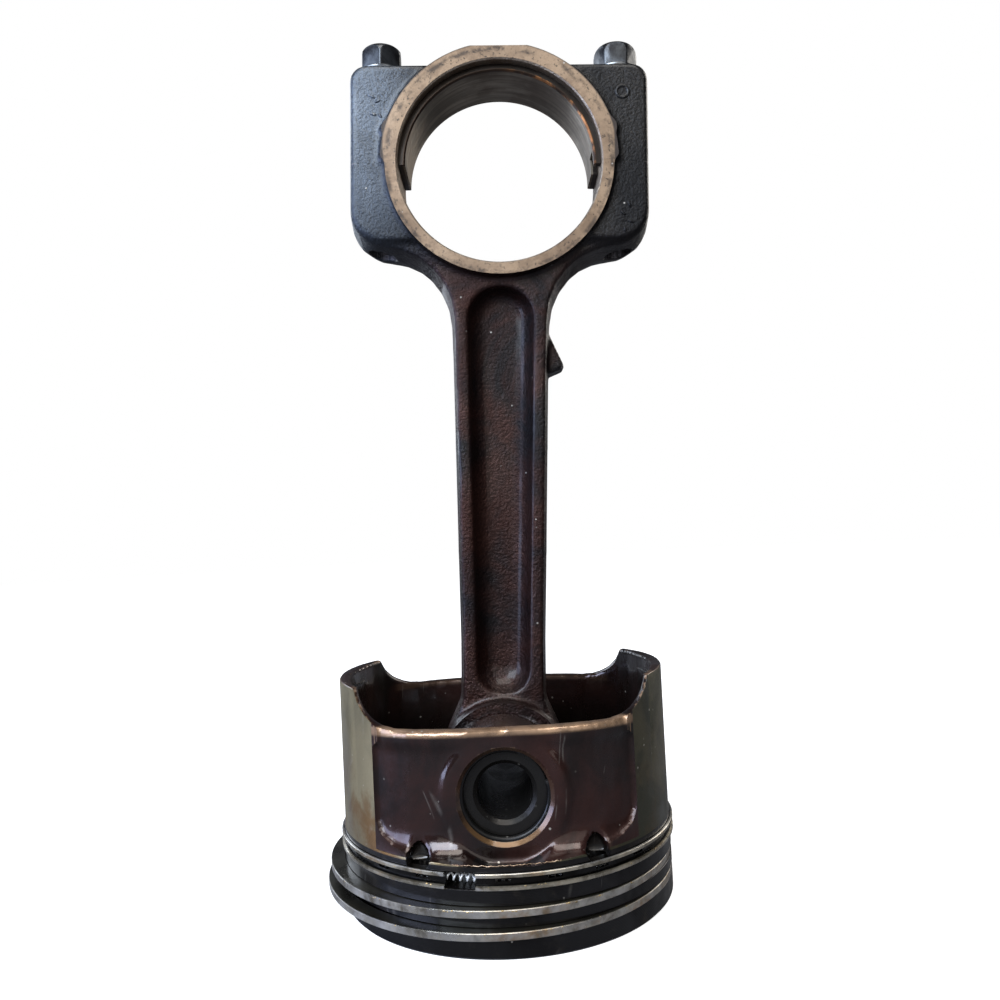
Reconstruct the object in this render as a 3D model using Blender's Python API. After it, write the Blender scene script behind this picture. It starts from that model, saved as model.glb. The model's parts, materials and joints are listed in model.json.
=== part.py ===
# Piston and connecting rod of a four-stroke engine, standing on the piston's crown.
# The origin is the centre of the flat crown face. +Z is up, +X is right and the wrist pin
# runs along Y. All sizes here are in millimetres; mesh_object turns them into metres.
import math

import bmesh
import bpy
from mathutils import Matrix, Vector

MM = 0.001

# Fits
SEAT_GAP = 0.3            # between faces that are bolted or pressed flat on each other
PRESS_GAP = 0.03          # radial, for a bush or a shell in its bore
PIN_CLEARANCE = 0.05      # radial, pin in the bosses and in the bush
BOLT_CLEARANCE = 0.1      # radial, bolt in its hole
RING_SIDE_CLEARANCE = 0.05

# Wrist pin and its clips
PIN_RADIUS = 10.0
PIN_WALL = 3.65
CLIP_WIRE_RADIUS = 0.8
CLIP_GROOVE_DEPTH = 1.0
CLIP_GROOVE_SLACK = 0.15
CLIP_END_CLEARANCE = 0.4   # between the pin's end and the clip
CLIP_GAP_ANGLE = 52.0
CLIP_GAP_AT = 42.0         # up from +X

# Piston
PISTON_RADIUS = 41.5
SKIRT_RELIEF = 0.2         # the skirt is this much smaller than the lands
PIN_HEIGHT = 32.4          # pin axis above the crown face
WALL_ABOVE_PIN = 4.9
SKIRT_RISE = 8.4           # thrust skirts above the walls that carry the pin
CROWN_THICKNESS = 8.6
CROWN_CHAMFER = 0.6
WINDOW_DEPTH = 6.5         # how far the pin side is recessed behind the turned skirt
WINDOW_HALF_WIDTH = 30.0
WINDOW_CORNER = 9.5
PIN_SIDE_WALL = 3.5
THRUST_WALL = 3.7
PANEL_SIDE_INSET = 4.3     # the cast panel's ellipse is this much narrower than the skirt
PANEL_POWER = 3.0
LIP_HEIGHT = 3.2
LIP_RISE = 0.6
BOSS_WALL = 3.6
BOSS_RISE = 0.9
REGISTER_DEPTH = 4.0       # turned step inside the thrust skirts
REGISTER_WALL = 2.7
TOP_CUT_RADIUS = 10.0
TOP_CUT_REACH = 7.0        # the top cut-outs end this far inside the skirt
BELT_WALL = 3.7            # behind the ring grooves
DRAIN_HOLES = 8
DRAIN_HOLE_RADIUS = 1.1
NOTCH_OFFSET = 19.6        # oil notches, left and right of the pin
NOTCH_WIDTH = 5.0
NOTCH_HEIGHT = 5.2

# Ring pack, from the crown up
TOP_LAND = 5.05
SECOND_LAND = 2.65
THIRD_LAND = 3.45
FOURTH_LAND = 1.2
RING_HEIGHT = 1.75
OIL_RING_HEIGHT = 3.5
RING_WALL = 3.6
GROOVE_DEPTH = 4.5
TOP_RING_SPRING = 2.2      # free radius beyond the piston's
SECOND_RING_SPRING = 1.7
OIL_RING_SPRING = 0.7
TOP_RING_SHIFT = 2.3       # the free rings lie pushed towards -X
SECOND_RING_SHIFT = 2.0
RING_GAP_ANGLE = 15.0
TOP_GAP_AT = 70.0
SECOND_GAP_AT = 112.0
OIL_GAP_FROM = 250.6
OIL_GAP_TO = 260.2
OIL_RAIL = 0.75
OIL_CHANNEL = 1.1
OIL_WALL = 2.6
COIL_RADIUS = 0.95
COIL_WALL = 0.42
COIL_GAP_ANGLE = 1.6
COIL_GAP_AT = 75.0
LATCH_RADIUS = 0.36
LATCH_ANGLE = 44.0

# Connecting rod
ROD_LENGTH = 152.5         # pin axis to crankpin axis
ROD_LEAN = 2.27            # degrees about the pin, towards +X
EYE_WALL = 4.4
EYE_HALF_WIDTH = 11.5
EYE_SIDE_CLEARANCE = 0.7
BUSH_WALL = 1.6
BIG_BORE_RADIUS = 26.0
BIG_RING_WALL = 3.3
BIG_HALF_WIDTH = 11.0
BORE_CHAMFER = 0.4
EAR_HALF_WIDTH = 9.5
EAR_CORNER = 8.0
FORGING_DRAFT = 1.1        # the mid-plane is this much wider than the front rims
SHANK_HALF_THICKNESS = 8.0
SHANK_HALF_TOP = 11.5
SHANK_HALF_BOTTOM = 10.0
NECK_FILLET = 19.0
RIM_WIDTH = 3.3            # beside the pocket, at the top
WEB_HALF_THICKNESS = 2.8
POCKET_DRAFT = 4.4         # how far the hollowed walls come in down to the web
LUG_REACH = 5.2
LUG_HALF_WIDTH = 3.5
LUG_HEIGHT = 16.0

# Cap, bolts and bearing shell
CAP_HOOP_WALL = 4.4
CAP_FLAT_WALL = 3.5        # over the bore, where the hoop is flattened
SEAT_HEIGHT = 0.3          # bolt seats above the ears
SEAT_RADIUS = 6.5
BOLT_RADIUS = 3.5
BOLT_WALL = 1.5            # between the bolt hole and the bearing bore
EAR_WALL = 4.3
HEX_ACROSS_FLATS = 10.0
HEX_HEIGHT = 6.0
HEX_TURNS = (33.0, 54.0)    # how the two hexagons stand, in degrees
FLANGE_RADIUS = 5.9
FLANGE_HEIGHT = 1.3
BOLT_END_DEPTH = 3.5       # the thread ends this far inside the rod's ear
SHELL_WALL = 1.75
SHELL_HALF_WIDTH = 8.5
TANG_WIDTH = 5.0
TANG_HEIGHT = 5.5
TANG_RISE = 1.2
TANG_OFFSET = 4.0

# Worked out from the sizes above
SKIRT_RADIUS = PISTON_RADIUS - SKIRT_RELIEF
PIN_WALL_TOP = PIN_HEIGHT + PIN_RADIUS + WALL_ABOVE_PIN
SKIRT_TOP = PIN_WALL_TOP + SKIRT_RISE
GROOVE_ROOT = PISTON_RADIUS - GROOVE_DEPTH
GROOVE_HEIGHT = RING_HEIGHT + 2 * RING_SIDE_CLEARANCE
OIL_GROOVE_HEIGHT = OIL_RING_HEIGHT + 2 * RING_SIDE_CLEARANCE
FIRST_GROOVE = TOP_LAND
SECOND_GROOVE = FIRST_GROOVE + GROOVE_HEIGHT + SECOND_LAND
OIL_GROOVE = SECOND_GROOVE + GROOVE_HEIGHT + THIRD_LAND
WINDOW_BOTTOM = OIL_GROOVE + OIL_GROOVE_HEIGHT + FOURTH_LAND
PANEL_HALF_DEPTH = PISTON_RADIUS - WINDOW_DEPTH
PANEL_HALF_WIDTH = SKIRT_RADIUS - PANEL_SIDE_INSET
BOSS_FACE = PANEL_HALF_DEPTH + BOSS_RISE
PIN_BORE = PIN_RADIUS + PIN_CLEARANCE
CLIP_GROOVE = PIN_RADIUS + CLIP_GROOVE_DEPTH
CLIP_AT = BOSS_FACE - 2.9
PIN_HALF_LENGTH = CLIP_AT - CLIP_WIRE_RADIUS - CLIP_END_CLEARANCE
BUSH_RADIUS = PIN_BORE + BUSH_WALL
EYE_BORE = BUSH_RADIUS + PRESS_GAP
EYE_RADIUS = EYE_BORE + EYE_WALL
BOSS_INNER = EYE_HALF_WIDTH + EYE_SIDE_CLEARANCE
BIG_RADIUS = BIG_BORE_RADIUS + BIG_RING_WALL
EAR_DROP = BIG_BORE_RADIUS - 5.0       # ear underside below the crankpin axis
CAP_FLAT = BIG_BORE_RADIUS + CAP_FLAT_WALL
CAP_EAR_RISE = BIG_BORE_RADIUS + 0.5
SEAT_RISE = CAP_EAR_RISE + SEAT_HEIGHT
BOLT_HOLE = BOLT_RADIUS + BOLT_CLEARANCE
BOLT_X = BIG_BORE_RADIUS + BOLT_WALL + BOLT_HOLE
EAR_X = BOLT_X + BOLT_HOLE + EAR_WALL

ROUND_STEPS = 64
CAST_STEPS = 44
PIN_STEPS = 40
SMALL_STEPS = 24


def clear_scene():
    for old in list(bpy.data.objects):
        bpy.data.objects.remove(old, do_unlink=True)


def finish_material(name, colour, roughness, metallic):
    material = bpy.data.materials.new(name)
    material.use_nodes = True
    shader = material.node_tree.nodes["Principled BSDF"]
    shader.inputs["Base Color"].default_value = (*colour, 1.0)
    shader.inputs["Roughness"].default_value = roughness
    shader.inputs["Metallic"].default_value = metallic
    return material


def mesh_object(name, bm, parent=None, material=None):
    bmesh.ops.remove_doubles(bm, verts=bm.verts, dist=0.0005)
    bmesh.ops.recalc_face_normals(bm, faces=bm.faces)
    bmesh.ops.scale(bm, verts=bm.verts, vec=(MM, MM, MM))
    mesh = bpy.data.meshes.new(name)
    bm.to_mesh(mesh)
    bm.free()
    mesh.shade_smooth()
    mesh.set_sharp_from_angle(angle=math.radians(32))
    piece = bpy.data.objects.new(name, mesh)
    bpy.context.collection.objects.link(piece)
    piece.parent = parent
    if material:
        mesh.materials.append(material)
    return piece


def turned(name, profile, steps=ROUND_STEPS, axis="Z", parent=None, material=None):
    # A profile of (radius, height) points spun a full turn. It is open where both ends
    # lie on the axis, and closed otherwise.
    bm = bmesh.new()
    points = [bm.verts.new((radius, 0, height)) for radius, height in profile]
    edges = [bm.edges.new(pair) for pair in zip(points, points[1:])]
    if profile[0][0] > 0:
        edges.append(bm.edges.new((points[-1], points[0])))
    bmesh.ops.spin(bm, geom=points + edges, cent=(0, 0, 0), axis=(0, 0, 1),
                   angle=2 * math.pi, steps=steps, use_merge=True)
    if axis == "Y":
        bmesh.ops.rotate(bm, verts=bm.verts, cent=(0, 0, 0),
                         matrix=Matrix.Rotation(math.radians(-90), 3, "X"))
    return mesh_object(name, bm, parent, material)


def split_ring(name, profile, start, sweep, steps, shift=0.0, parent=None, material=None):
    # A closed (radius, height) profile swept part of a turn, with flat ends
    bm = bmesh.new()
    turn = Matrix.Rotation(math.radians(start), 3, "Z")
    points = [bm.verts.new(turn @ Vector((radius, 0, height))) for radius, height in profile]
    face = bm.faces.new(points)
    bmesh.ops.spin(bm, geom=[face] + list(face.edges) + points, cent=(0, 0, 0),
                   axis=(0, 0, 1), angle=math.radians(sweep), steps=steps)
    bmesh.ops.translate(bm, verts=bm.verts, vec=(shift, 0, 0))
    return mesh_object(name, bm, parent, material)


def loft(name, sections, parent=None, material=None):
    # Sections with the same number of points are bridged and the two ends are filled
    bm = bmesh.new()
    rows = [[bm.verts.new(point) for point in section] for section in sections]
    count = len(rows[0])
    for lower, upper in zip(rows, rows[1:]):
        for i in range(count):
            j = (i + 1) % count
            bm.faces.new((lower[i], lower[j], upper[j], upper[i]))
    bm.faces.new(rows[0])
    bm.faces.new(rows[-1])
    return mesh_object(name, bm, parent, material)


def plates(name, outlines, parent=None, material=None):
    # Outlines of (x, z) points, each at its own y
    sections = [[(x, y, z) for x, z in outline] for y, outline in outlines]
    return loft(name, sections, parent, material)


def rounded(corners, steps=6):
    # Corners of (x, z, radius): a radius puts an arc in the corner
    outline = []
    for i, (x, z, radius) in enumerate(corners):
        corner = Vector((x, z))
        if not radius:
            outline.append(corner)
            continue
        before = (Vector(corners[i - 1][:2]) - corner).normalized()
        after = (Vector(corners[(i + 1) % len(corners)][:2]) - corner).normalized()
        half = before.angle(after) / 2
        centre = corner + (before + after).normalized() * radius / math.sin(half)
        start = corner + before * radius / math.tan(half) - centre
        end = corner + after * radius / math.tan(half) - centre
        turn = start.angle_signed(end)
        for step in range(steps + 1):
            outline.append(centre + Matrix.Rotation(-turn * step / steps, 2) @ start)
    return [(point.x, point.y) for point in outline]


def mirrored(corners):
    # Right-hand corners from top to bottom, and the same again on the left
    left = [(-x, z, radius) for x, z, radius in reversed(corners)]
    return rounded(corners + left)


def superellipse(half_x, half_y, power, z):
    ring = []
    for i in range(CAST_STEPS):
        angle = 2 * math.pi * i / CAST_STEPS
        c, s = math.cos(angle), math.sin(angle)
        radius = (abs(c / half_x) ** power + abs(s / half_y) ** power) ** (-1 / power)
        ring.append((radius * c, radius * s, z))
    return ring


def combine(piece, helpers, operation="DIFFERENCE"):
    # All the helper solids act in one Boolean, and stay in the file as wire guides
    group = bpy.data.collections.new(f"{piece.name}_{operation.lower()}")
    for helper in helpers:
        helper.hide_render = True
        helper.display_type = "WIRE"
        group.objects.link(helper)
    step = piece.modifiers.new(group.name, "BOOLEAN")
    step.operation = operation
    step.solver = "EXACT"
    step.operand_type = "COLLECTION"
    step.collection = group


def move(piece, x=0.0, y=0.0, z=0.0):
    piece.location = (x * MM, y * MM, z * MM)
    return piece


# ---- Piston ----

def piston_body(material):
    grooves = []
    for low, height in ((FIRST_GROOVE, GROOVE_HEIGHT), (SECOND_GROOVE, GROOVE_HEIGHT),
                        (OIL_GROOVE, OIL_GROOVE_HEIGHT)):
        grooves += [(PISTON_RADIUS, low), (GROOVE_ROOT, low),
                    (GROOVE_ROOT, low + height), (PISTON_RADIUS, low + height)]
    profile = ([(0, 0), (PISTON_RADIUS - CROWN_CHAMFER, 0), (PISTON_RADIUS, CROWN_CHAMFER)]
               + grooves
               + [(PISTON_RADIUS, WINDOW_BOTTOM - 0.3), (SKIRT_RADIUS, WINDOW_BOTTOM + 0.3),
                  (SKIRT_RADIUS, SKIRT_TOP - 0.4), (SKIRT_RADIUS - 0.4, SKIRT_TOP),
                  (0, SKIRT_TOP)])
    body = turned("piston_body", profile, material=material)
    cuts = [piston_cavity(), piston_register(), piston_window(), top_cut(), pin_bore()]
    cuts += [oil_notch(side, hand) for side in (-1, 1) for hand in (-1, 1)]
    cuts += [drain_hole(i) for i in range(DRAIN_HOLES)]
    combine(body, cuts)
    return body


def piston_cavity():
    inside = PANEL_HALF_DEPTH - PIN_SIDE_WALL
    across = SKIRT_RADIUS - THRUST_WALL
    belt = GROOVE_ROOT - BELT_WALL
    belt_top = WINDOW_BOTTOM + 0.8
    sections = [
        superellipse(belt - 6.5, inside - 7.5, 2.3, CROWN_THICKNESS),
        superellipse(belt - 2.4, inside - 4.0, 2.3, CROWN_THICKNESS + 1.4),
        superellipse(belt, inside - 2.0, 2.3, CROWN_THICKNESS + 4.6),
        superellipse(belt + 0.3, inside - 1.8, 2.3, belt_top),
        superellipse(across - 1.2, inside - 0.3, 2.7, belt_top + 4.5),
        superellipse(across, inside, PANEL_POWER, belt_top + 8.0),
        superellipse(across, inside, PANEL_POWER, SKIRT_TOP + 5),
    ]
    cavity = loft("cavity_cut", sections)
    combine(cavity, [pin_boss(side) for side in (-1, 1)])
    return cavity


def piston_register():
    radius = SKIRT_RADIUS - REGISTER_WALL
    profile = [(0, SKIRT_TOP + 3), (0, SKIRT_TOP - REGISTER_DEPTH),
               (radius, SKIRT_TOP - REGISTER_DEPTH), (radius, SKIRT_TOP + 3)]
    return turned("register_cut", profile[1:] + profile[:1])


def panel_section(grow, z):
    return superellipse(PANEL_HALF_WIDTH + grow, PANEL_HALF_DEPTH + grow, PANEL_POWER, z)


def piston_window():
    # The pin sides are cut back to a cast panel with a lip along its top
    # and a hollow fillet at its foot
    lip = PIN_WALL_TOP - LIP_HEIGHT
    fillet = 5.6
    foot = [(0.0, 1.0), (0.35, 0.62), (1.3, 0.32), (2.9, 0.1), (5.4, -0.02)]
    sections = [panel_section(grow, WINDOW_BOTTOM + fillet * height)
                for grow, height in reversed(foot)]
    sections += [panel_section(0, lip - 1.0), panel_section(LIP_RISE, lip),
                 panel_section(LIP_RISE, SKIRT_TOP + 3)]
    panel = loft("panel_keep", sections)
    top = SKIRT_TOP + 2
    corners = [(WINDOW_HALF_WIDTH, top, 0), (WINDOW_HALF_WIDTH, WINDOW_BOTTOM, WINDOW_CORNER)]
    outline = mirrored(corners)
    reach = PISTON_RADIUS + 5
    window = plates("window_cut", [(-reach, outline), (reach, outline)])
    combine(window, [panel] + [boss_face(side) for side in (-1, 1)])
    return window


def pin_boss(side):
    # A keyhole-shaped block from the wall to the rod's eye, standing on the crown
    radius = PIN_BORE + BOSS_WALL
    foot = radius - 1.5
    arc = [(radius * math.cos(math.radians(a)), PIN_HEIGHT + radius * math.sin(math.radians(a)))
           for a in range(0, 181, 15)]
    outline = arc + [(-foot, CROWN_THICKNESS - 2), (foot, CROWN_THICKNESS - 2)]
    name = "boss_" + ("rear" if side > 0 else "front")
    return plates(name, [(side * BOSS_INNER, outline), (side * (PISTON_RADIUS + 2), outline)])


def boss_face(side):
    # The boss stands a little proud of the panel, with an eased edge
    radius = PIN_BORE + BOSS_WALL
    inner = PANEL_HALF_DEPTH - 6
    name = "boss_face_" + ("rear" if side > 0 else "front")
    disc = turned(name, [(0, side * inner), (radius + 0.8, side * inner),
                         (radius + 0.8, side * (PANEL_HALF_DEPTH - 0.2)),
                         (radius - 0.2, side * BOSS_FACE), (0, side * BOSS_FACE)],
                  steps=PIN_STEPS, axis="Y")
    return move(disc, z=PIN_HEIGHT)


def top_cut():
    # Leaves the thrust skirts standing above the pin walls
    reach = SKIRT_RADIUS - TOP_CUT_REACH
    corners = [(reach, SKIRT_TOP + 4, 0), (reach, PIN_WALL_TOP, TOP_CUT_RADIUS)]
    outline = mirrored(corners)
    depth = PISTON_RADIUS + 5
    return plates("top_cut", [(-depth, outline), (depth, outline)])


def pin_bore():
    # One turned cutter: bores, clip grooves and the chamfers at both ends
    half = CLIP_WIRE_RADIUS + CLIP_GROOVE_SLACK
    side = [(PIN_BORE, CLIP_AT - half), (CLIP_GROOVE, CLIP_AT - half),
            (CLIP_GROOVE, CLIP_AT + half), (PIN_BORE, CLIP_AT + half),
            (PIN_BORE, BOSS_FACE - 0.8), (PIN_BORE + 0.8, BOSS_FACE),
            (PIN_BORE + 3.0, BOSS_FACE + 2.2), (0, BOSS_FACE + 2.2)]
    profile = [(radius, -height) for radius, height in reversed(side)] + side
    return move(turned("pin_bore_cut", profile, steps=PIN_STEPS, axis="Y"), z=PIN_HEIGHT)


def oil_notch(side, hand):
    # A pointed arch from the oil groove up into the foot of the window
    middle = hand * NOTCH_OFFSET
    half = NOTCH_WIDTH / 2
    low = WINDOW_BOTTOM - FOURTH_LAND - 0.8
    outline = [(middle - half, low), (middle + half, low), (middle + half, low + 0.55 * NOTCH_HEIGHT),
               (middle + 0.35 * half, low + NOTCH_HEIGHT), (middle - 0.35 * half, low + NOTCH_HEIGHT),
               (middle - half, low + 0.55 * NOTCH_HEIGHT)]
    near = math.sqrt(GROOVE_ROOT ** 2 - NOTCH_OFFSET ** 2) - 0.4
    name = "oil_notch_" + ("rear" if side > 0 else "front") + ("_right" if hand > 0 else "_left")
    return plates(name, [(side * near, outline), (side * (PISTON_RADIUS + 4), outline)])


def drain_hole(i):
    # Radial holes from the oil groove to the inside
    profile = [(0, GROOVE_ROOT - BELT_WALL - 4), (DRAIN_HOLE_RADIUS, GROOVE_ROOT - BELT_WALL - 4),
               (DRAIN_HOLE_RADIUS, GROOVE_ROOT + 1.5), (0, GROOVE_ROOT + 1.5)]
    hole = turned(f"drain_hole_{i + 1}", profile, steps=10, axis="Y")
    hole.rotation_euler.z = math.radians(-90 + 35 + (i % 4) * 36.7 + (i // 4) * 180)
    return move(hole, z=OIL_GROOVE + OIL_GROOVE_HEIGHT / 2)


# ---- Rings ----

def ring_profile(inner, outer, low, high, ease):
    return [(inner, low), (outer - ease, low), (outer, low + ease),
            (outer, high - ease), (outer - ease, high), (inner, high)]


def compression_ring(name, groove, spring, shift, gap_at, material):
    outer = PISTON_RADIUS + spring
    low = groove + RING_SIDE_CLEARANCE
    profile = ring_profile(outer - RING_WALL, outer, low, low + RING_HEIGHT, 0.15)
    hub = bpy.data.objects.new(name + "_axis", None)
    bpy.context.collection.objects.link(hub)
    move(hub, x=-shift)
    return split_ring(name, profile, gap_at + RING_GAP_ANGLE / 2, 360 - RING_GAP_ANGLE,
                      ROUND_STEPS, parent=hub, material=material)


def oil_ring(material):
    # Two rails with a channel between them, and a round seat for the coil at the back
    outer = PISTON_RADIUS + OIL_RING_SPRING
    inner = outer - OIL_WALL
    low = OIL_GROOVE + RING_SIDE_CLEARANCE
    high = low + OIL_RING_HEIGHT
    middle = (low + high) / 2
    seat = COIL_RADIUS + PRESS_GAP
    back = [(inner + 0.75 * seat * math.sin(math.radians(a)),
             middle + seat * math.cos(math.radians(a))) for a in range(0, 181, 45)]
    profile = [(inner, low), (outer - 0.1, low), (outer, low + 0.1), (outer, low + OIL_RAIL),
               (outer - OIL_CHANNEL, low + OIL_RAIL + 0.35),
               (outer - OIL_CHANNEL, high - OIL_RAIL - 0.35),
               (outer, high - OIL_RAIL), (outer, high - 0.1), (outer - 0.1, high),
               (inner, high)] + back
    return split_ring("oil_ring", profile, OIL_GAP_TO, 360 - (OIL_GAP_TO - OIL_GAP_FROM),
                      ROUND_STEPS, material=material)


def coil_centre():
    outer = PISTON_RADIUS + OIL_RING_SPRING
    return outer - OIL_WALL - 0.3, OIL_GROOVE + OIL_GROOVE_HEIGHT / 2


def circle(centre_r, centre_z, radius, count):
    return [(centre_r + radius * math.cos(2 * math.pi * i / count),
             centre_z + radius * math.sin(2 * math.pi * i / count)) for i in range(count)]


def coil_expander(material):
    # The coil spring's envelope: a tube bent round, open at both ends
    centre, height = coil_centre()
    steps = 40
    sides = 6
    bm = bmesh.new()
    skins = []
    for radius in (COIL_RADIUS, COIL_RADIUS - COIL_WALL):
        section = circle(centre, height, radius, sides)
        rows = []
        for step in range(steps + 1):
            angle = COIL_GAP_AT + COIL_GAP_ANGLE / 2 + (360 - COIL_GAP_ANGLE) * step / steps
            turn = Matrix.Rotation(math.radians(angle), 3, "Z")
            rows.append([bm.verts.new(turn @ Vector((r, 0, z))) for r, z in section])
        for near, far in zip(rows, rows[1:]):
            for i in range(sides):
                bm.faces.new((near[i - 1], near[i], far[i], far[i - 1]))
        skins.append(rows)
    for end in (0, -1):
        outer, inner = skins[0][end], skins[1][end]
        for i in range(sides):
            bm.faces.new((outer[i - 1], outer[i], inner[i], inner[i - 1]))
    return mesh_object("oil_ring_expander", bm, material=material)


def latch_wire(material):
    # The short wire inside the coil that joins its two ends
    centre, height = coil_centre()
    return split_ring("expander_latch_wire", circle(centre, height, LATCH_RADIUS, 6),
                      COIL_GAP_AT - LATCH_ANGLE / 2, LATCH_ANGLE, 9, material=material)


# ---- Pin ----

def wrist_pin(material):
    half = PIN_HALF_LENGTH
    hole = PIN_RADIUS - PIN_WALL
    profile = [(hole, -half + 0.8), (hole + 0.8, -half), (PIN_RADIUS - 0.6, -half),
               (PIN_RADIUS, -half + 0.6), (PIN_RADIUS, half - 0.6), (PIN_RADIUS - 0.6, half),
               (hole + 0.8, half), (hole, half - 0.8)]
    pin = turned("wrist_pin", profile, steps=PIN_STEPS, axis="Y", material=material)
    return move(pin, z=PIN_HEIGHT)


def circlip(side, material):
    centre = CLIP_GROOVE - CLIP_WIRE_RADIUS - 0.1
    name = "circlip_" + ("rear" if side > 0 else "front")
    clip = split_ring(name, circle(centre, 0, CLIP_WIRE_RADIUS, 6),
                      CLIP_GAP_AT + CLIP_GAP_ANGLE / 2, 360 - CLIP_GAP_ANGLE, 24,
                      material=material)
    clip.rotation_euler.x = math.radians(90)
    return move(clip, y=side * CLIP_AT, z=PIN_HEIGHT)


# ---- Rod, modelled about the pin axis and hung from rod_hinge ----

def rod_outline(rim):
    # Half outline from the parting plane down to the eye; rim is 0 at the front edges
    # and 1 at the mid-plane, where the forging is widest
    grow = FORGING_DRAFT * rim
    ear_x = EAR_X - 1.6 + grow
    under = ROD_LENGTH - EAR_DROP + 0.6 - grow
    return mirrored([
        (ear_x, ROD_LENGTH + 1, 0),
        (ear_x, under, EAR_CORNER),
        (SHANK_HALF_TOP + 0.9 + grow, under - 1.6, NECK_FILLET),
        (SHANK_HALF_TOP + grow, ROD_LENGTH - BIG_RADIUS - 19, 0),
        (SHANK_HALF_BOTTOM + grow, EYE_RADIUS + 14, 0),
        (SHANK_HALF_BOTTOM + grow, EYE_RADIUS - 0.5, 8.0),
        (EYE_RADIUS - 1.2, EYE_RADIUS * 0.42, 0),
        (EYE_RADIUS - 1.2, 0, 0),
    ])


def ear_outline(inset, low, high, corner):
    return mirrored([(EAR_X - inset, high, corner if high > ROD_LENGTH + 2 else 0),
                     (EAR_X - inset, low, corner if high <= ROD_LENGTH + 2 else 0)])


def ear_block(name, low, high, corner, hinge, material=None):
    # The ears are widest at the mid-plane and eased along their front and rear edges
    up = 1 if high > ROD_LENGTH + 2 else 0
    outlines = []
    for y, inset in ((-EAR_HALF_WIDTH, 1.5), (-EAR_HALF_WIDTH + 1.2, 0.7), (0, 0),
                     (EAR_HALF_WIDTH - 1.2, 0.7), (EAR_HALF_WIDTH, 1.5)):
        outlines.append((y, ear_outline(inset, low + inset * (1 - up), high - inset * up, corner)))
    return plates(name, outlines, parent=hinge, material=material)


def big_end_ring(name, radius, hinge):
    ease = 0.7
    half = BIG_HALF_WIDTH
    ring = turned(name, [(0, -half), (radius - ease, -half), (radius, -half + ease),
                         (radius, half - ease), (radius - ease, half), (0, half)],
                  axis="Y", parent=hinge)
    return move(ring, z=ROD_LENGTH)


def big_bore(name, hinge):
    half = BIG_HALF_WIDTH
    side = [(BIG_BORE_RADIUS, half - BORE_CHAMFER), (BIG_BORE_RADIUS + BORE_CHAMFER, half),
            (BIG_BORE_RADIUS + 3, half + 3 - BORE_CHAMFER), (0, half + 3)]
    profile = [(radius, -height) for radius, height in reversed(side)] + side
    return move(turned(name, profile, axis="Y", parent=hinge), z=ROD_LENGTH)


def bolt_hole(name, hand, hinge):
    low, high = -EAR_DROP - 6, SEAT_RISE + 6
    hole = turned(name, [(0, low), (BOLT_HOLE, low), (BOLT_HOLE, high), (0, high)],
                  steps=SMALL_STEPS, parent=hinge)
    return move(hole, x=hand * BOLT_X, z=ROD_LENGTH)


def parting_block(name, up, hinge):
    # Everything on the other half's side of the parting plane
    reach = EAR_X + 20
    near = ROD_LENGTH - up * SEAT_GAP / 2
    far = ROD_LENGTH + up * 80
    low, high = min(near, far), max(near, far)
    outline = [(-reach, low), (reach, low), (reach, high), (-reach, high)]
    return plates(name, [(-30, outline), (30, outline)], parent=hinge)


def tang_slot(name, hinge):
    outer = BIG_BORE_RADIUS + TANG_RISE + PRESS_GAP * 4
    inner = BIG_BORE_RADIUS - 3
    reach = TANG_HEIGHT + SEAT_GAP
    outline = [(inner, ROD_LENGTH - reach), (outer, ROD_LENGTH - reach),
               (outer, ROD_LENGTH + reach), (inner, ROD_LENGTH + reach)]
    half = TANG_WIDTH / 2 + 0.2
    return plates(name, [(-TANG_OFFSET - half, outline), (-TANG_OFFSET + half, outline)],
                  parent=hinge)


def pocket(side, hinge):
    # A tapered hollow with drafted walls, round at the top and scooped out at the foot
    top = ROD_LENGTH - BIG_RADIUS - 2.0
    foot = EYE_RADIUS + 1.2
    name = "pocket_" + ("rear" if side > 0 else "front")
    outlines = []
    depth = SHANK_HALF_THICKNESS - WEB_HALF_THICKNESS
    for part, share in ((1.12, -0.05), (0.88, 0.05), (0.55, 0.2), (0.28, 0.42), (0.09, 0.7), (0, 1)):
        y = WEB_HALF_THICKNESS + part * depth
        inset = share * POCKET_DRAFT
        wide = SHANK_HALF_TOP - RIM_WIDTH + 0.6 - inset
        narrow = SHANK_HALF_BOTTOM - RIM_WIDTH - inset
        outline = mirrored([(wide, top - 0.6 * inset, 0.94 * wide),
                            (narrow, foot + 1.3 * inset, 0.9 * narrow)])
        outlines.append((side * y, outline))
    return plates(name, outlines, parent=hinge)


def direction_lug(hinge):
    # A small wedge on the right edge of the shank that shows which way the rod faces
    base = SHANK_HALF_TOP - 1
    top = ROD_LENGTH - BIG_RADIUS - 9
    tip = SHANK_HALF_TOP + LUG_REACH
    outline = [(base, top), (tip, top - 0.84 * LUG_HEIGHT), (base, top - LUG_HEIGHT)]
    return plates("lug", [(-LUG_HALF_WIDTH, outline), (LUG_HALF_WIDTH, outline)], parent=hinge)


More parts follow.
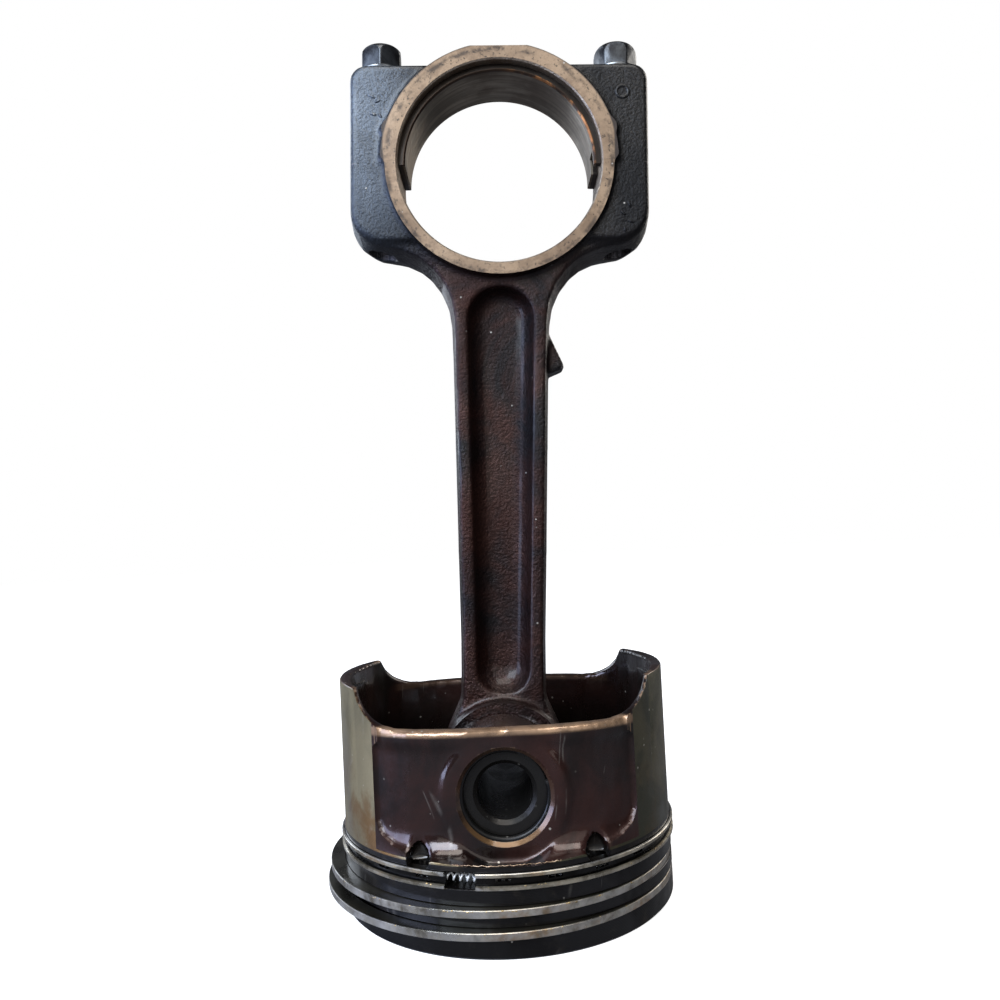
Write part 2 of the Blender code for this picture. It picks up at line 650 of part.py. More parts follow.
def connecting_rod(hinge, material):
    depth = SHANK_HALF_THICKNESS
    rod = plates("connecting_rod", [(-depth, rod_outline(0)), (0, rod_outline(1)),
                                    (depth, rod_outline(0))], parent=hinge, material=material)
    ears = ear_block("rod_ears", ROD_LENGTH - EAR_DROP, ROD_LENGTH + 1.5, EAR_CORNER, hinge)
    half = EYE_HALF_WIDTH
    eye = turned("rod_eye", [(0, -half), (EYE_RADIUS - 0.7, -half), (EYE_RADIUS, -half + 0.7),
                             (EYE_RADIUS, half - 0.7), (EYE_RADIUS - 0.7, half), (0, half)],
                 steps=PIN_STEPS, axis="Y", parent=hinge)
    ring = big_end_ring("rod_ring", BIG_RADIUS, hinge)
    combine(rod, [ears, ring, eye, direction_lug(hinge)], "UNION")
    eye_bore = turned("eye_bore_cut", [(0, -half - 3), (EYE_BORE, -half - 3),
                                       (EYE_BORE, half + 3), (0, half + 3)],
                      steps=PIN_STEPS, axis="Y", parent=hinge)
    cuts = [pocket(side, hinge) for side in (-1, 1)] + [big_bore("rod_bore_cut", hinge), eye_bore]
    cuts += [bolt_hole("rod_hole_" + ("right" if hand > 0 else "left"), hand, hinge)
             for hand in (-1, 1)]
    cuts += [tang_slot("rod_tang_slot", hinge), parting_block("rod_parting_cut", 1, hinge)]
    combine(rod, cuts)
    return rod


def small_end_bush(hinge, material):
    half = EYE_HALF_WIDTH - 0.2
    return turned("small_end_bush", [(PIN_BORE, -half), (BUSH_RADIUS, -half),
                                     (BUSH_RADIUS, half), (PIN_BORE, half)],
                  steps=PIN_STEPS, axis="Y", parent=hinge, material=material)


def rod_cap(hinge, material):
    cap = ear_block("rod_cap", ROD_LENGTH - 1.5, ROD_LENGTH + CAP_EAR_RISE, 4.0, hinge, material)
    hoop = big_end_ring("cap_hoop", BIG_BORE_RADIUS + CAP_HOOP_WALL, hinge)
    flat = plates("cap_flat_cut", [(y, [(-50, ROD_LENGTH + CAP_FLAT), (50, ROD_LENGTH + CAP_FLAT),
                                        (50, ROD_LENGTH + CAP_FLAT + 20),
                                        (-50, ROD_LENGTH + CAP_FLAT + 20)]) for y in (-30, 30)],
                  parent=hinge)
    adds = [hoop]
    for hand in (-1, 1):
        seat = turned("bolt_seat_" + ("right" if hand > 0 else "left"),
                      [(0, 8), (SEAT_RADIUS, 8), (SEAT_RADIUS, SEAT_RISE), (0, SEAT_RISE)],
                      steps=SMALL_STEPS, parent=hinge)
        adds.append(move(seat, x=hand * BOLT_X, z=ROD_LENGTH))
    combine(cap, adds, "UNION")
    cuts = [flat, big_bore("cap_bore_cut", hinge)]
    cuts += [bolt_hole("cap_hole_" + ("right" if hand > 0 else "left"), hand, hinge)
             for hand in (-1, 1)]
    cuts += [tang_slot("cap_tang_slot", hinge), parting_block("cap_parting_cut", -1, hinge)]
    combine(cap, cuts)
    return cap


def bearing_shell(hinge, material):
    # The cap's half of the big-end bearing, with a tang that keys it in the cap
    outer = BIG_BORE_RADIUS - PRESS_GAP
    inner = outer - SHELL_WALL
    half = SHELL_HALF_WIDTH
    full = turned("cap_bearing_shell", [(inner, -half), (outer, -half), (outer, half), (inner, half)],
                  axis="Y", parent=hinge, material=material)
    move(full, z=ROD_LENGTH)
    low = ROD_LENGTH + SEAT_GAP / 2
    outline = [(outer - 0.8, low - 1), (outer + TANG_RISE, low - 1),
               (outer + TANG_RISE, low + TANG_HEIGHT - 0.4), (outer - 0.8, low + TANG_HEIGHT)]
    tang = plates("tang", [(-TANG_OFFSET - TANG_WIDTH / 2, outline),
                           (-TANG_OFFSET + TANG_WIDTH / 2, outline)], parent=hinge)
    combine(full, [tang], "UNION")
    combine(full, [parting_block("shell_parting_cut", -1, hinge)])
    return full


def rod_bolt(hand, hinge, material):
    # Hexagon head with a domed top on a round flange, and a plain shank
    name = "rod_bolt_" + ("right" if hand > 0 else "left")
    seat = SEAT_GAP
    top = seat + FLANGE_HEIGHT + HEX_HEIGHT
    end = -SEAT_RISE - EAR_DROP + BOLT_END_DEPTH
    flange = [(0, end), (BOLT_RADIUS - 0.8, end), (BOLT_RADIUS, end + 0.8), (BOLT_RADIUS, seat),
              (FLANGE_RADIUS, seat), (FLANGE_RADIUS, seat + FLANGE_HEIGHT - 0.3),
              (FLANGE_RADIUS - 0.5, seat + FLANGE_HEIGHT), (0, seat + FLANGE_HEIGHT)]
    bolt = turned(name, flange, steps=SMALL_STEPS, parent=hinge, material=material)
    corner = HEX_ACROSS_FLATS / math.sqrt(3)
    turn = math.radians(HEX_TURNS[0 if hand < 0 else 1])
    hexagon = [(corner * math.cos(turn + math.radians(60 * i)),
                corner * math.sin(turn + math.radians(60 * i))) for i in range(6)]
    low = seat + FLANGE_HEIGHT - 0.4
    head = loft(name + "_hexagon", [[(x, y, z) for x, y in hexagon] for z in (low, top)],
                parent=hinge)
    dome = turned(name + "_dome", [(0, low - 1), (corner + 1, low - 1), (corner + 1, top - 3.4),
                                   (corner - 0.3, top - 1.9), (0.72 * corner, top - 0.2),
                                   (0.5 * corner, top), (0, top)],
                  steps=SMALL_STEPS, parent=hinge)
    combine(head, [dome], "INTERSECT")
    combine(bolt, [head], "UNION")
    for piece in (bolt, head, dome):
        move(piece, x=hand * BOLT_X, z=ROD_LENGTH + SEAT_RISE)
    return bolt


def build():
    clear_scene()
    cast = finish_material("cast_aluminium", (0.11, 0.075, 0.05), 0.4, 0.85)
    ring_iron = finish_material("ring_iron", (0.25, 0.24, 0.22), 0.35, 0.9)
    spring = finish_material("spring_steel", (0.7, 0.7, 0.68), 0.25, 1.0)
    pin_steel = finish_material("pin_steel", (0.2, 0.19, 0.18), 0.2, 1.0)
    clip_steel = finish_material("clip_steel", (0.08, 0.08, 0.08), 0.4, 0.9)
    bronze = finish_material("bush_bronze", (0.45, 0.27, 0.12), 0.4, 0.9)
    forged = finish_material("forged_steel", (0.05, 0.048, 0.05), 0.42, 0.85)
    shell_metal = finish_material("bearing_metal", (0.22, 0.18, 0.14), 0.4, 0.8)
    bolt_steel = finish_material("bolt_steel", (0.16, 0.16, 0.17), 0.3, 1.0)

    piston_body(cast)
    compression_ring("top_compression_ring", FIRST_GROOVE, TOP_RING_SPRING, TOP_RING_SHIFT,
                     TOP_GAP_AT, ring_iron)
    compression_ring("second_compression_ring", SECOND_GROOVE, SECOND_RING_SPRING,
                     SECOND_RING_SHIFT, SECOND_GAP_AT, ring_iron)
    oil_ring(ring_iron)
    coil_expander(spring)
    latch_wire(spring)
    wrist_pin(pin_steel)
    for side in (-1, 1):
        circlip(side, clip_steel)

    hinge = bpy.data.objects.new("rod_hinge", None)
    bpy.context.collection.objects.link(hinge)
    move(hinge, z=PIN_HEIGHT)
    hinge.rotation_euler.y = math.radians(ROD_LEAN)
    connecting_rod(hinge, forged)
    small_end_bush(hinge, bronze)
    rod_cap(hinge, forged)
    bearing_shell(hinge, shell_metal)
    for hand in (-1, 1):
        rod_bolt(hand, hinge, bolt_steel)


build()
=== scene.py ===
import math
import random
import json

import bpy
import numpy as np
from mathutils import Matrix, Vector


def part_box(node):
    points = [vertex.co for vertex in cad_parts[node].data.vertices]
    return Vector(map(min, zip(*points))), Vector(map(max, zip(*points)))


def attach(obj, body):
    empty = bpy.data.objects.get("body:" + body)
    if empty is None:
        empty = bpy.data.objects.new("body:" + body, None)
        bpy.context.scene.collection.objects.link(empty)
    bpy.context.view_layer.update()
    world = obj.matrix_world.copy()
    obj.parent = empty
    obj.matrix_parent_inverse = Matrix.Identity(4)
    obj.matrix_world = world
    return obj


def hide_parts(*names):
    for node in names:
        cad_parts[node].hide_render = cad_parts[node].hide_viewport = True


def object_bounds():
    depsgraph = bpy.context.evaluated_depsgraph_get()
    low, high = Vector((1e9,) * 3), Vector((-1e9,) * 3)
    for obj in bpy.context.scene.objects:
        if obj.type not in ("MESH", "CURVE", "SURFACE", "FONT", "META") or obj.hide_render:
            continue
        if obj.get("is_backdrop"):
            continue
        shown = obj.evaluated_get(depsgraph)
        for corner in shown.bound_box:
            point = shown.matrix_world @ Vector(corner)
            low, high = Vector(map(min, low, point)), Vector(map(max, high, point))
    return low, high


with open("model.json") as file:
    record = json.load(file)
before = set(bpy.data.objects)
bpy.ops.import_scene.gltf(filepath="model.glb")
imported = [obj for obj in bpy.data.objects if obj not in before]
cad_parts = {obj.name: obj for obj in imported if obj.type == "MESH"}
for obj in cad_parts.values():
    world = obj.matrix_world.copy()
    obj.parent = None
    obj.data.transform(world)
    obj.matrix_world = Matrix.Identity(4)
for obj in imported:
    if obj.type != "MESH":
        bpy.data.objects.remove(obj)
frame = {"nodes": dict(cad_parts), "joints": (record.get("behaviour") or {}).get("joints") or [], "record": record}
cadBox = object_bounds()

mm = 0.001
joints = {joint["name"]: joint for joint in frame["joints"]}
openings = {hole["name"]: hole["box_m"] for hole in frame["record"]["physics"]["openings"]}

# Where things stand, all read from the frame
pinCentre = Vector(joints["rod_swing"]["pos_m"])
bigLow, bigHigh = openings["crankpin_bore"]
bigCentre = (Vector(bigLow) + Vector(bigHigh)) / 2
rodVector = bigCentre - pinCentre
rodLength = rodVector.length
rodLean = math.atan2(rodVector.x, rodVector.z)
rodStand = Matrix.Translation(pinCentre) @ Matrix.Rotation(rodLean, 4, "Y")
pistonLow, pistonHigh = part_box("piston_body")
pistonRadius = pistonHigh.x
print("frame loaded, rod leans", round(math.degrees(rodLean), 2))


# Modelling by hand: small steps that every piece uses

def deselectAll():
    if bpy.context.object and bpy.context.object.mode != "OBJECT":
        bpy.ops.object.mode_set(mode="OBJECT")
    bpy.ops.object.select_all(action="DESELECT")


def pick(piece):
    deselectAll()
    piece.select_set(True)
    bpy.context.view_layer.objects.active = piece


def newest(name):
    piece = bpy.context.object
    piece.name = name
    piece.data.name = name
    return piece


def applyModifiers(piece):
    pick(piece)
    for step in list(piece.modifiers):
        bpy.ops.object.modifier_apply(modifier=step.name)


def settle(piece):
    # Puts the place into the mesh and leaves the object at the origin
    pick(piece)
    bpy.ops.object.transform_apply(location=True, rotation=True, scale=True)


def tidyMesh(piece):
    pick(piece)
    bpy.ops.object.mode_set(mode="EDIT")
    bpy.ops.mesh.select_all(action="SELECT")
    bpy.ops.mesh.remove_doubles(threshold=0.002 * mm)
    bpy.ops.mesh.normals_make_consistent(inside=False)
    bpy.ops.object.mode_set(mode="OBJECT")


def block(name, low, high):
    centre = (Vector(low) + Vector(high)) / 2
    deselectAll()
    bpy.ops.mesh.primitive_cube_add(size=1, location=centre)
    piece = newest(name)
    piece.scale = Vector(high) - Vector(low)
    settle(piece)
    return piece


def rodBar(name, radius, start, end, sides=128, axis="Y", at=(0, 0, 0)):
    # A cylinder along one axis from start to end, about the point at
    deselectAll()
    turn = {"X": (0, math.pi / 2, 0), "Y": (math.pi / 2, 0, 0), "Z": (0, 0, 0)}[axis]
    middle = {"X": (1, 0, 0), "Y": (0, 1, 0), "Z": (0, 0, 1)}[axis]
    place = Vector(at) + Vector(middle) * (start + end) / 2
    bpy.ops.mesh.primitive_cylinder_add(vertices=sides, radius=radius, depth=abs(end - start),
                                        location=place, rotation=turn)
    piece = newest(name)
    settle(piece)
    return piece


def turnedSolid(name, profile, sides=192, axis="Z", at=(0, 0, 0)):
    # A line of (radius, height) points extruded from one vertex and screwed round an axis
    deselectAll()
    bpy.ops.mesh.primitive_plane_add(size=0.001)
    piece = newest(name)
    bpy.ops.object.mode_set(mode="EDIT")
    bpy.ops.mesh.select_all(action="SELECT")
    bpy.ops.mesh.merge(type="CENTER")
    start = Vector((profile[0][0], 0, profile[0][1]))
    bpy.ops.transform.translate(value=start)
    for (fromR, fromH), (toR, toH) in zip(profile, profile[1:]):
        step = (toR - fromR, 0, toH - fromH)
        bpy.ops.mesh.extrude_region_move(TRANSFORM_OT_translate={"value": step})
    bpy.ops.object.mode_set(mode="OBJECT")
    screw = piece.modifiers.new("turn", "SCREW")
    screw.axis = "Z"
    screw.angle = 2 * math.pi
    screw.steps = sides
    screw.render_steps = sides
    screw.use_merge_vertices = True
    screw.merge_threshold = 0.000001
    applyModifiers(piece)
    if axis == "Y":
        piece.rotation_euler.x = -math.pi / 2
    piece.location = at
    settle(piece)
    tidyMesh(piece)
    return piece


def sweptRing(name, section, start, sweep, steps, centre=(0, 0, 0)):
    # A closed (radius, height) outline spun part of a turn, with flat ends
    deselectAll()
    bpy.ops.mesh.primitive_plane_add(size=0.001)
    piece = newest(name)
    bpy.ops.object.mode_set(mode="EDIT")
    bpy.ops.mesh.select_all(action="SELECT")
    bpy.ops.mesh.merge(type="CENTER")
    bpy.ops.transform.translate(value=(section[0][0], 0, section[0][1]))
    for (fromR, fromH), (toR, toH) in zip(section, section[1:]):
        step = (toR - fromR, 0, toH - fromH)
        bpy.ops.mesh.extrude_region_move(TRANSFORM_OT_translate={"value": step})
    bpy.ops.mesh.select_all(action="SELECT")
    bpy.ops.mesh.edge_face_add()
    bpy.ops.mesh.select_all(action="SELECT")
    bpy.ops.mesh.spin(steps=steps, angle=-sweep, center=(0, 0, 0), axis=(0, 0, 1))
    bpy.ops.object.mode_set(mode="OBJECT")
    piece.rotation_euler.z = start
    piece.location = centre
    settle(piece)
    tidyMesh(piece)
    return piece


def joined(name, pieces):
    deselectAll()
    for piece in pieces:
        piece.select_set(True)
    bpy.context.view_layer.objects.active = pieces[0]
    bpy.ops.object.join()
    return newest(name)


def carve(piece, tools, operation="DIFFERENCE"):
    for tool in tools:
        step = piece.modifiers.new("carve", "BOOLEAN")
        step.operation = operation
        step.solver = "MANIFOLD"
        step.object = tool
        pick(piece)
        bpy.ops.object.modifier_apply(modifier=step.name)
        bpy.data.objects.remove(tool, do_unlink=True)


def standOnPin(piece):
    # From rod measures, counted from the pin's axis, to the frame
    piece.data.transform(rodStand)
    return piece


def nodeCopy(name, node):
    piece = bpy.data.objects.new(name, frame["nodes"][node].data.copy())
    bpy.context.scene.collection.objects.link(piece)
    piece.data.materials.clear()
    tidyMesh(piece)
    return piece


def castSkin(piece, grain, softness, passes):
    # Remeshes a block-built blank and softens it, as a die or a mould would
    remesh = piece.modifiers.new("skin", "REMESH")
    remesh.mode = "VOXEL"
    remesh.voxel_size = grain
    if passes:
        smooth = piece.modifiers.new("soften", "SMOOTH")
        smooth.factor = softness
        smooth.iterations = passes
    applyModifiers(piece)


def markShape(piece):
    # Stores how convex ("edge") and how hollow ("hollow") the surface is at each vertex
    mesh = piece.data
    count = len(mesh.vertices)
    co = np.zeros(count * 3)
    mesh.vertices.foreach_get("co", co)
    co = co.reshape(-1, 3)
    normal = np.zeros(count * 3)
    mesh.vertices.foreach_get("normal", normal)
    normal = normal.reshape(-1, 3)
    ends = np.zeros(len(mesh.edges) * 2, int)
    mesh.edges.foreach_get("vertices", ends)
    ends = ends.reshape(-1, 2)
    degree = np.bincount(ends.ravel(), minlength=count).clip(1)
    span = np.linalg.norm(co[ends[:, 0]] - co[ends[:, 1]], axis=1)
    total = np.zeros((count, 3))
    reach = np.zeros(count)
    for a, b in ((0, 1), (1, 0)):
        np.add.at(total, ends[:, a], co[ends[:, b]])
        np.add.at(reach, ends[:, a], span)
    bend = ((co - total / degree[:, None]) * normal).sum(1) / (reach / degree).clip(1e-6)
    for _ in range(3):
        spread = np.zeros(count)
        for a, b in ((0, 1), (1, 0)):
            np.add.at(spread, ends[:, a], bend[ends[:, b]])
        bend = 0.5 * bend + 0.5 * spread / degree
    for name, values in (("edge", bend), ("hollow", -bend)):
        layer = mesh.attributes.new(name, "FLOAT", "POINT")
        layer.data.foreach_set("value", np.clip(values * 4, 0, 1).astype(np.float32))


def shadeRound(piece, angle=35):
    markShape(piece)
    pick(piece)
    bpy.ops.object.shade_smooth_by_angle(angle=math.radians(angle))


def bentWire(name, thickness, roundness, points):
    # A line through (place, swell) points, given a round section and made a mesh
    deselectAll()
    bpy.ops.curve.primitive_nurbs_path_add()
    wire = newest(name)
    wire.data.splines.clear()
    wire.data.bevel_depth = thickness
    wire.data.bevel_resolution = roundness
    wire.data.use_fill_caps = True
    line = wire.data.splines.new("POLY")
    line.points.add(len(points) - 1)
    for spot, (place, swell) in zip(line.points, points):
        spot.co = (*place, 1)
        spot.radius = swell
    pick(wire)
    bpy.ops.object.convert(target="MESH")
    wire = newest(name)
    bpy.ops.object.shade_smooth()
    return wire


# Connecting rod and cap: one forging, machined and then split

rodPlan = {
    "grain": 0.55 * mm, "softness": 0.5, "passes": 7,
    "ringRadius": 29.1 * mm, "ringHalf": 11.0 * mm, "boreRadius": 26.0 * mm, "boreChamfer": 0.4 * mm,
    "eyeHalf": 11.5 * mm, "eyeFaceRadius": 15.7 * mm, "eyeBore": 11.68 * mm,
    "boltX": 31.1 * mm, "boltHole": 3.6 * mm, "seatRise": 26.8 * mm, "seatRadius": 6.7 * mm,
    "earX": 38.2 * mm, "earHalf": 9.0 * mm, "partingGap": 0.04 * mm,
    "hoopRadius": 30.3 * mm, "hoopFlat": 29.4 * mm,
    "sideLobe": 3.3 * mm, "sideLobeX": 26.6 * mm, "sideLobeRise": 8.2 * mm,
    "stockExtra": 1.5 * mm, "boltStock": (-19.5 * mm, 24 * mm), "seatFrom": 18 * mm,
    "earFrom": 25 * mm, "earStep": 1.3 * mm, "earInnerHalf": 6.5 * mm, "earRise": 2 * mm,
}


def cutBoreTool(name, radius, half, chamfer, centreHeight):
    profile = [(0, -half - 3 * mm), (radius + chamfer + 2 * mm, -half - 2 * mm),
               (radius, -half + chamfer), (radius, half - chamfer),
               (radius + chamfer + 2 * mm, half + 2 * mm), (0, half + 3 * mm)]
    return turnedSolid(name, profile, 256, "Y", (0, 0, centreHeight))


def makeForging(plan):
    parts = [nodeCopy("rodCopy", "connecting_rod"), nodeCopy("capCopy", "rod_cap")]
    for part in parts:
        part.data.transform(rodStand.inverted())
    top = rodLength
    extra = plan["stockExtra"]
    parts.append(rodBar("ringStock", plan["ringRadius"], -plan["ringHalf"] - extra,
                        plan["ringHalf"] + extra, at=(0, 0, top)))
    parts.append(rodBar("eyeStock", plan["eyeFaceRadius"], -plan["eyeHalf"] - extra,
                        plan["eyeHalf"] + extra))
    for hand in (-1, 1):
        x = hand * plan["boltX"]
        parts.append(rodBar("boltStock", plan["boltHole"] + 0.4 * mm, *plan["boltStock"],
                            32, "Z", (x, 0, top)))
        parts.append(rodBar("seatStock", plan["seatRadius"], plan["seatFrom"],
                            plan["seatRise"] + extra, 64, "Z", (x, 0, top)))
        for reach, depth in ((plan["earX"], plan["earInnerHalf"]),
                             (plan["earX"] - plan["earStep"], plan["earHalf"])):
            low, high = sorted((hand * plan["earFrom"], hand * reach))
            parts.append(block("earStock", (low, -depth, top - plan["earRise"]),
                               (high, depth, top + plan["earRise"])))
        parts.append(rodBar("lobe", plan["sideLobe"], -plan["ringHalf"] - extra,
                            plan["ringHalf"] + extra, 48,
                            at=(hand * plan["sideLobeX"], 0, top + plan["sideLobeRise"])))
    hoop = rodBar("hoopStock", plan["hoopRadius"], -plan["ringHalf"] - extra,
                  plan["ringHalf"] + extra, at=(0, 0, top))
    carve(hoop, [block("hoopKeep", (-40 * mm, -20 * mm, top + 1 * mm),
                       (40 * mm, 20 * mm, top + plan["hoopFlat"] + 0.6 * mm))], "INTERSECT")
    parts.append(hoop)
    forging = joined("forging", parts)
    castSkin(forging, plan["grain"], plan["softness"], plan["passes"])
    return forging


def machineForging(forging, plan):
    top = rodLength
    far = 80 * mm
    split = rodLength * 0.4
    tools = []
    for side in (-1, 1):
        for face, low, high in ((plan["ringHalf"], split, far * 3), (plan["eyeHalf"], -far, split)):
            near, out = sorted((side * face, side * 30 * mm))
            tools.append(block("faceCut", (-far, near, low), (far, out, high)))
    tools.append(cutBoreTool("boreCut", plan["boreRadius"], plan["ringHalf"],
                             plan["boreChamfer"], top))
    tools.append(cutBoreTool("eyeCut", plan["eyeBore"], plan["eyeHalf"], 0.5 * mm, 0))
    tools.append(block("flatCut", (-20 * mm, -20 * mm, top + plan["hoopFlat"]),
                       (20 * mm, 20 * mm, top + 50 * mm)))
    for hand in (-1, 1):
        x = hand * plan["boltX"]
        tools.append(rodBar("boltCut", plan["boltHole"], -40 * mm, 40 * mm, 64, "Z", (x, 0, top)))
        tools.append(rodBar("seatCut", plan["seatRadius"] + 1 * mm, plan["seatRise"], 40 * mm,
                            96, "Z", (x, 0, top)))
    carve(forging, tools)


def splitForging(forging, plan):
    top = rodLength
    far = 90 * mm
    gap = plan["partingGap"] / 2
    cap = forging.copy()
    cap.data = forging.data.copy()
    bpy.context.scene.collection.objects.link(cap)
    carve(forging, [block("above", (-far, -far, top - gap), (far, far, top + far))])
    carve(cap, [block("below", (-far, -far, -far), (far, far, top + gap))])
    forging.name, cap.name = "forgedRod", "forgedCap"
    for piece in (forging, cap):
        shadeRound(standOnPin(piece))
    return forging, cap


forging = makeForging(rodPlan)
machineForging(forging, rodPlan)
forgedRod, forgedCap = splitForging(forging, rodPlan)
for piece, node in ((forgedRod, "connecting_rod"), (forgedCap, "rod_cap")):
    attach(piece, "rod")
    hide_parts(node)
    print(piece.name, len(piece.data.polygons), "faces")


# Piston: a casting turned to size

pistonPlan = {
    "grain": 0.6 * mm, "softness": 0.5, "passes": 7,
    "stockGrow": 1.04, "turnedFrom": 40.75 * mm,
    "skirtRelief": 0.2 * mm, "crownChamfer": 0.6 * mm, "grooveRoot": 37.0 * mm,
    "skirtFrom": 19.7 * mm, "pinBore": 10.05 * mm, "bossFace": 35.3 * mm,
    "bossSkim": 14.8 * mm,
    "clipGroove": 11.0 * mm, "clipAt": 33.0 * mm, "clipHalf": 0.95 * mm,
    "registerDepth": 4.0 * mm, "registerWall": 2.7 * mm, "pinWallTop": 47.3 * mm,
    "slotSlack": 0.05 * mm,
}


def ringSlot(node, plan):
    low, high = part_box(node)
    return low.z - plan["slotSlack"], high.z + plan["slotSlack"]


def makeCasting(plan):
    casting = nodeCopy("castPiston", "piston_body")
    # the bosses are worn almost level with the panels
    carve(casting, [rodBar("skim", plan["bossSkim"], side * plan["bossFace"], side * 40 * mm, 64,
                           at=(0, 0, pinCentre.z)) for side in (-1, 1)])
    belt = turnedSolid("beltStock", [(plan["grooveRoot"] - 1.5 * mm, -1 * mm),
                                     (pistonRadius + 1.6 * mm, -1 * mm),
                                     (pistonRadius + 1.6 * mm, plan["skirtFrom"] - 1.6 * mm),
                                     (plan["grooveRoot"] - 1.5 * mm, plan["skirtFrom"] - 1.6 * mm),
                                     (plan["grooveRoot"] - 1.5 * mm, -1 * mm)], 128)
    parts = [casting, belt]
    for side in (-1, 1):
        start, end = sorted((side * 12.5 * mm, side * (plan["bossFace"] - 0.1 * mm)))
        parts.append(rodBar("bossStock", plan["pinBore"] + 2 * mm, start, end, 64,
                            at=(0, 0, pinCentre.z)))
    casting = joined("castPiston", parts)
    castSkin(casting, plan["grain"], 0, 0)
    # Turning stock: the outside grows a little before the cast surface is softened
    mesh = casting.data
    co = np.zeros(len(mesh.vertices) * 3)
    mesh.vertices.foreach_get("co", co)
    co = co.reshape(-1, 3)
    radius = np.hypot(co[:, 0], co[:, 1])
    outer = radius > plan["turnedFrom"]
    co[outer, :2] *= plan["stockGrow"]
    co[co[:, 2] < 0.4 * mm, 2] -= 1.2 * mm
    mesh.vertices.foreach_set("co", co.ravel())
    smooth = casting.modifiers.new("soften", "SMOOTH")
    smooth.factor = plan["softness"]
    smooth.iterations = plan["passes"]
    applyModifiers(casting)
    return casting


def turnCasting(casting, plan):
    skirt = pistonRadius - plan["skirtRelief"]
    top = pistonHigh.z
    root = plan["grooveRoot"]
    profile = [(0, 0), (pistonRadius - plan["crownChamfer"], 0), (pistonRadius, plan["crownChamfer"])]
    ease = 0.12 * mm
    for node in ("top_compression_ring", "second_compression_ring", "oil_ring"):
        low, high = ringSlot(node, plan)
        profile += [(pistonRadius, low - ease), (pistonRadius - ease, low), (root, low),
                    (root, high), (pistonRadius - ease, high), (pistonRadius, high + ease)]
    profile += [(pistonRadius, plan["skirtFrom"]), (skirt, plan["skirtFrom"] + 0.5 * mm),
                (skirt, top - 0.5 * mm), (skirt - 0.35 * mm, top), (0, top)]
    carve(casting, [turnedSolid("turnedOutside", profile, 256)], "INTERSECT")
    half = plan["clipHalf"]
    clip = plan["clipAt"]
    side = [(plan["pinBore"], clip - half), (plan["clipGroove"], clip - half),
            (plan["clipGroove"], clip + half), (plan["pinBore"], clip + half),
            (plan["pinBore"], plan["bossFace"] - 0.9 * mm),
            (plan["pinBore"] + 3.4 * mm, plan["bossFace"] + 2.5 * mm), (0, plan["bossFace"] + 2.5 * mm)]
    bore = [(radius, -height) for radius, height in reversed(side)] + side
    tools = [turnedSolid("pinBoreCut", bore, 128, "Y", (0, 0, pinCentre.z))]
    register = skirt - plan["registerWall"]
    tools.append(rodBar("registerCut", register, top - plan["registerDepth"], top + 9 * mm,
                        192, "Z"))
    carve(casting, tools)
    shadeRound(casting)
    return casting


castPiston = turnCasting(makeCasting(pistonPlan), pistonPlan)
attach(castPiston, "piston")
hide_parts("piston_body")
print(castPiston.name, len(castPiston.data.polygons), "faces")


# Rings

ringPlan = {
    "steps": 200, "ease": 0.16 * mm, "wall": 3.6 * mm, "gap": math.radians(15),
    "topGapAt": math.radians(70), "secondGapAt": math.radians(112),
    "oilFrom": math.radians(260.2), "oilSweep": math.radians(350.4),
    "oilWall": 2.6 * mm, "rail": 0.75 * mm, "channel": 1.1 * mm, "coilSeat": 0.98 * mm,
    "slots": 22, "slotHalf": math.radians(4.6), "slotHeight": 0.5 * mm,
}


def ringShape(node):
    low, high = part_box(node)
    centre = Vector(((low.x + high.x) / 2, (low.y + high.y) / 2, 0))
    return centre, (high.x - low.x) / 2, low.z, high.z


def markRunning(ring, centre, radius):
    # The face that runs on the cylinder wall, for the finish
    mesh = ring.data
    co = np.zeros(len(mesh.vertices) * 3)
    mesh.vertices.foreach_get("co", co)
    co = co.reshape(-1, 3)
    reach = np.hypot(co[:, 0] - centre.x, co[:, 1] - centre.y)
    layer = mesh.attributes.new("runningFace", "FLOAT", "POINT")
    layer.data.foreach_set("value", (reach > radius - 0.06 * mm).astype(np.float32))


def compressionRing(name, node, gapAt, plan):
    centre, radius, low, high = ringShape(node)
    # the gap may take a little off the box, so the larger of the two spans is the ring's
    spanLow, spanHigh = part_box(node)
    radius = max(radius, (spanHigh.y - spanLow.y) / 2)
    centre.x = spanLow.x + radius
    ease = plan["ease"]
    inner = radius - plan["wall"]
    section = [(inner, low + ease), (inner + ease, low), (radius - ease, low), (radius, low + ease),
               (radius, high - ease), (radius - ease, high), (inner + ease, high), (inner, high - ease)]
    ring = sweptRing(name, section, gapAt + plan["gap"] / 2, 2 * math.pi - plan["gap"],
                     plan["steps"], centre)
    markRunning(ring, centre, radius)
    shadeRound(ring)
    return ring


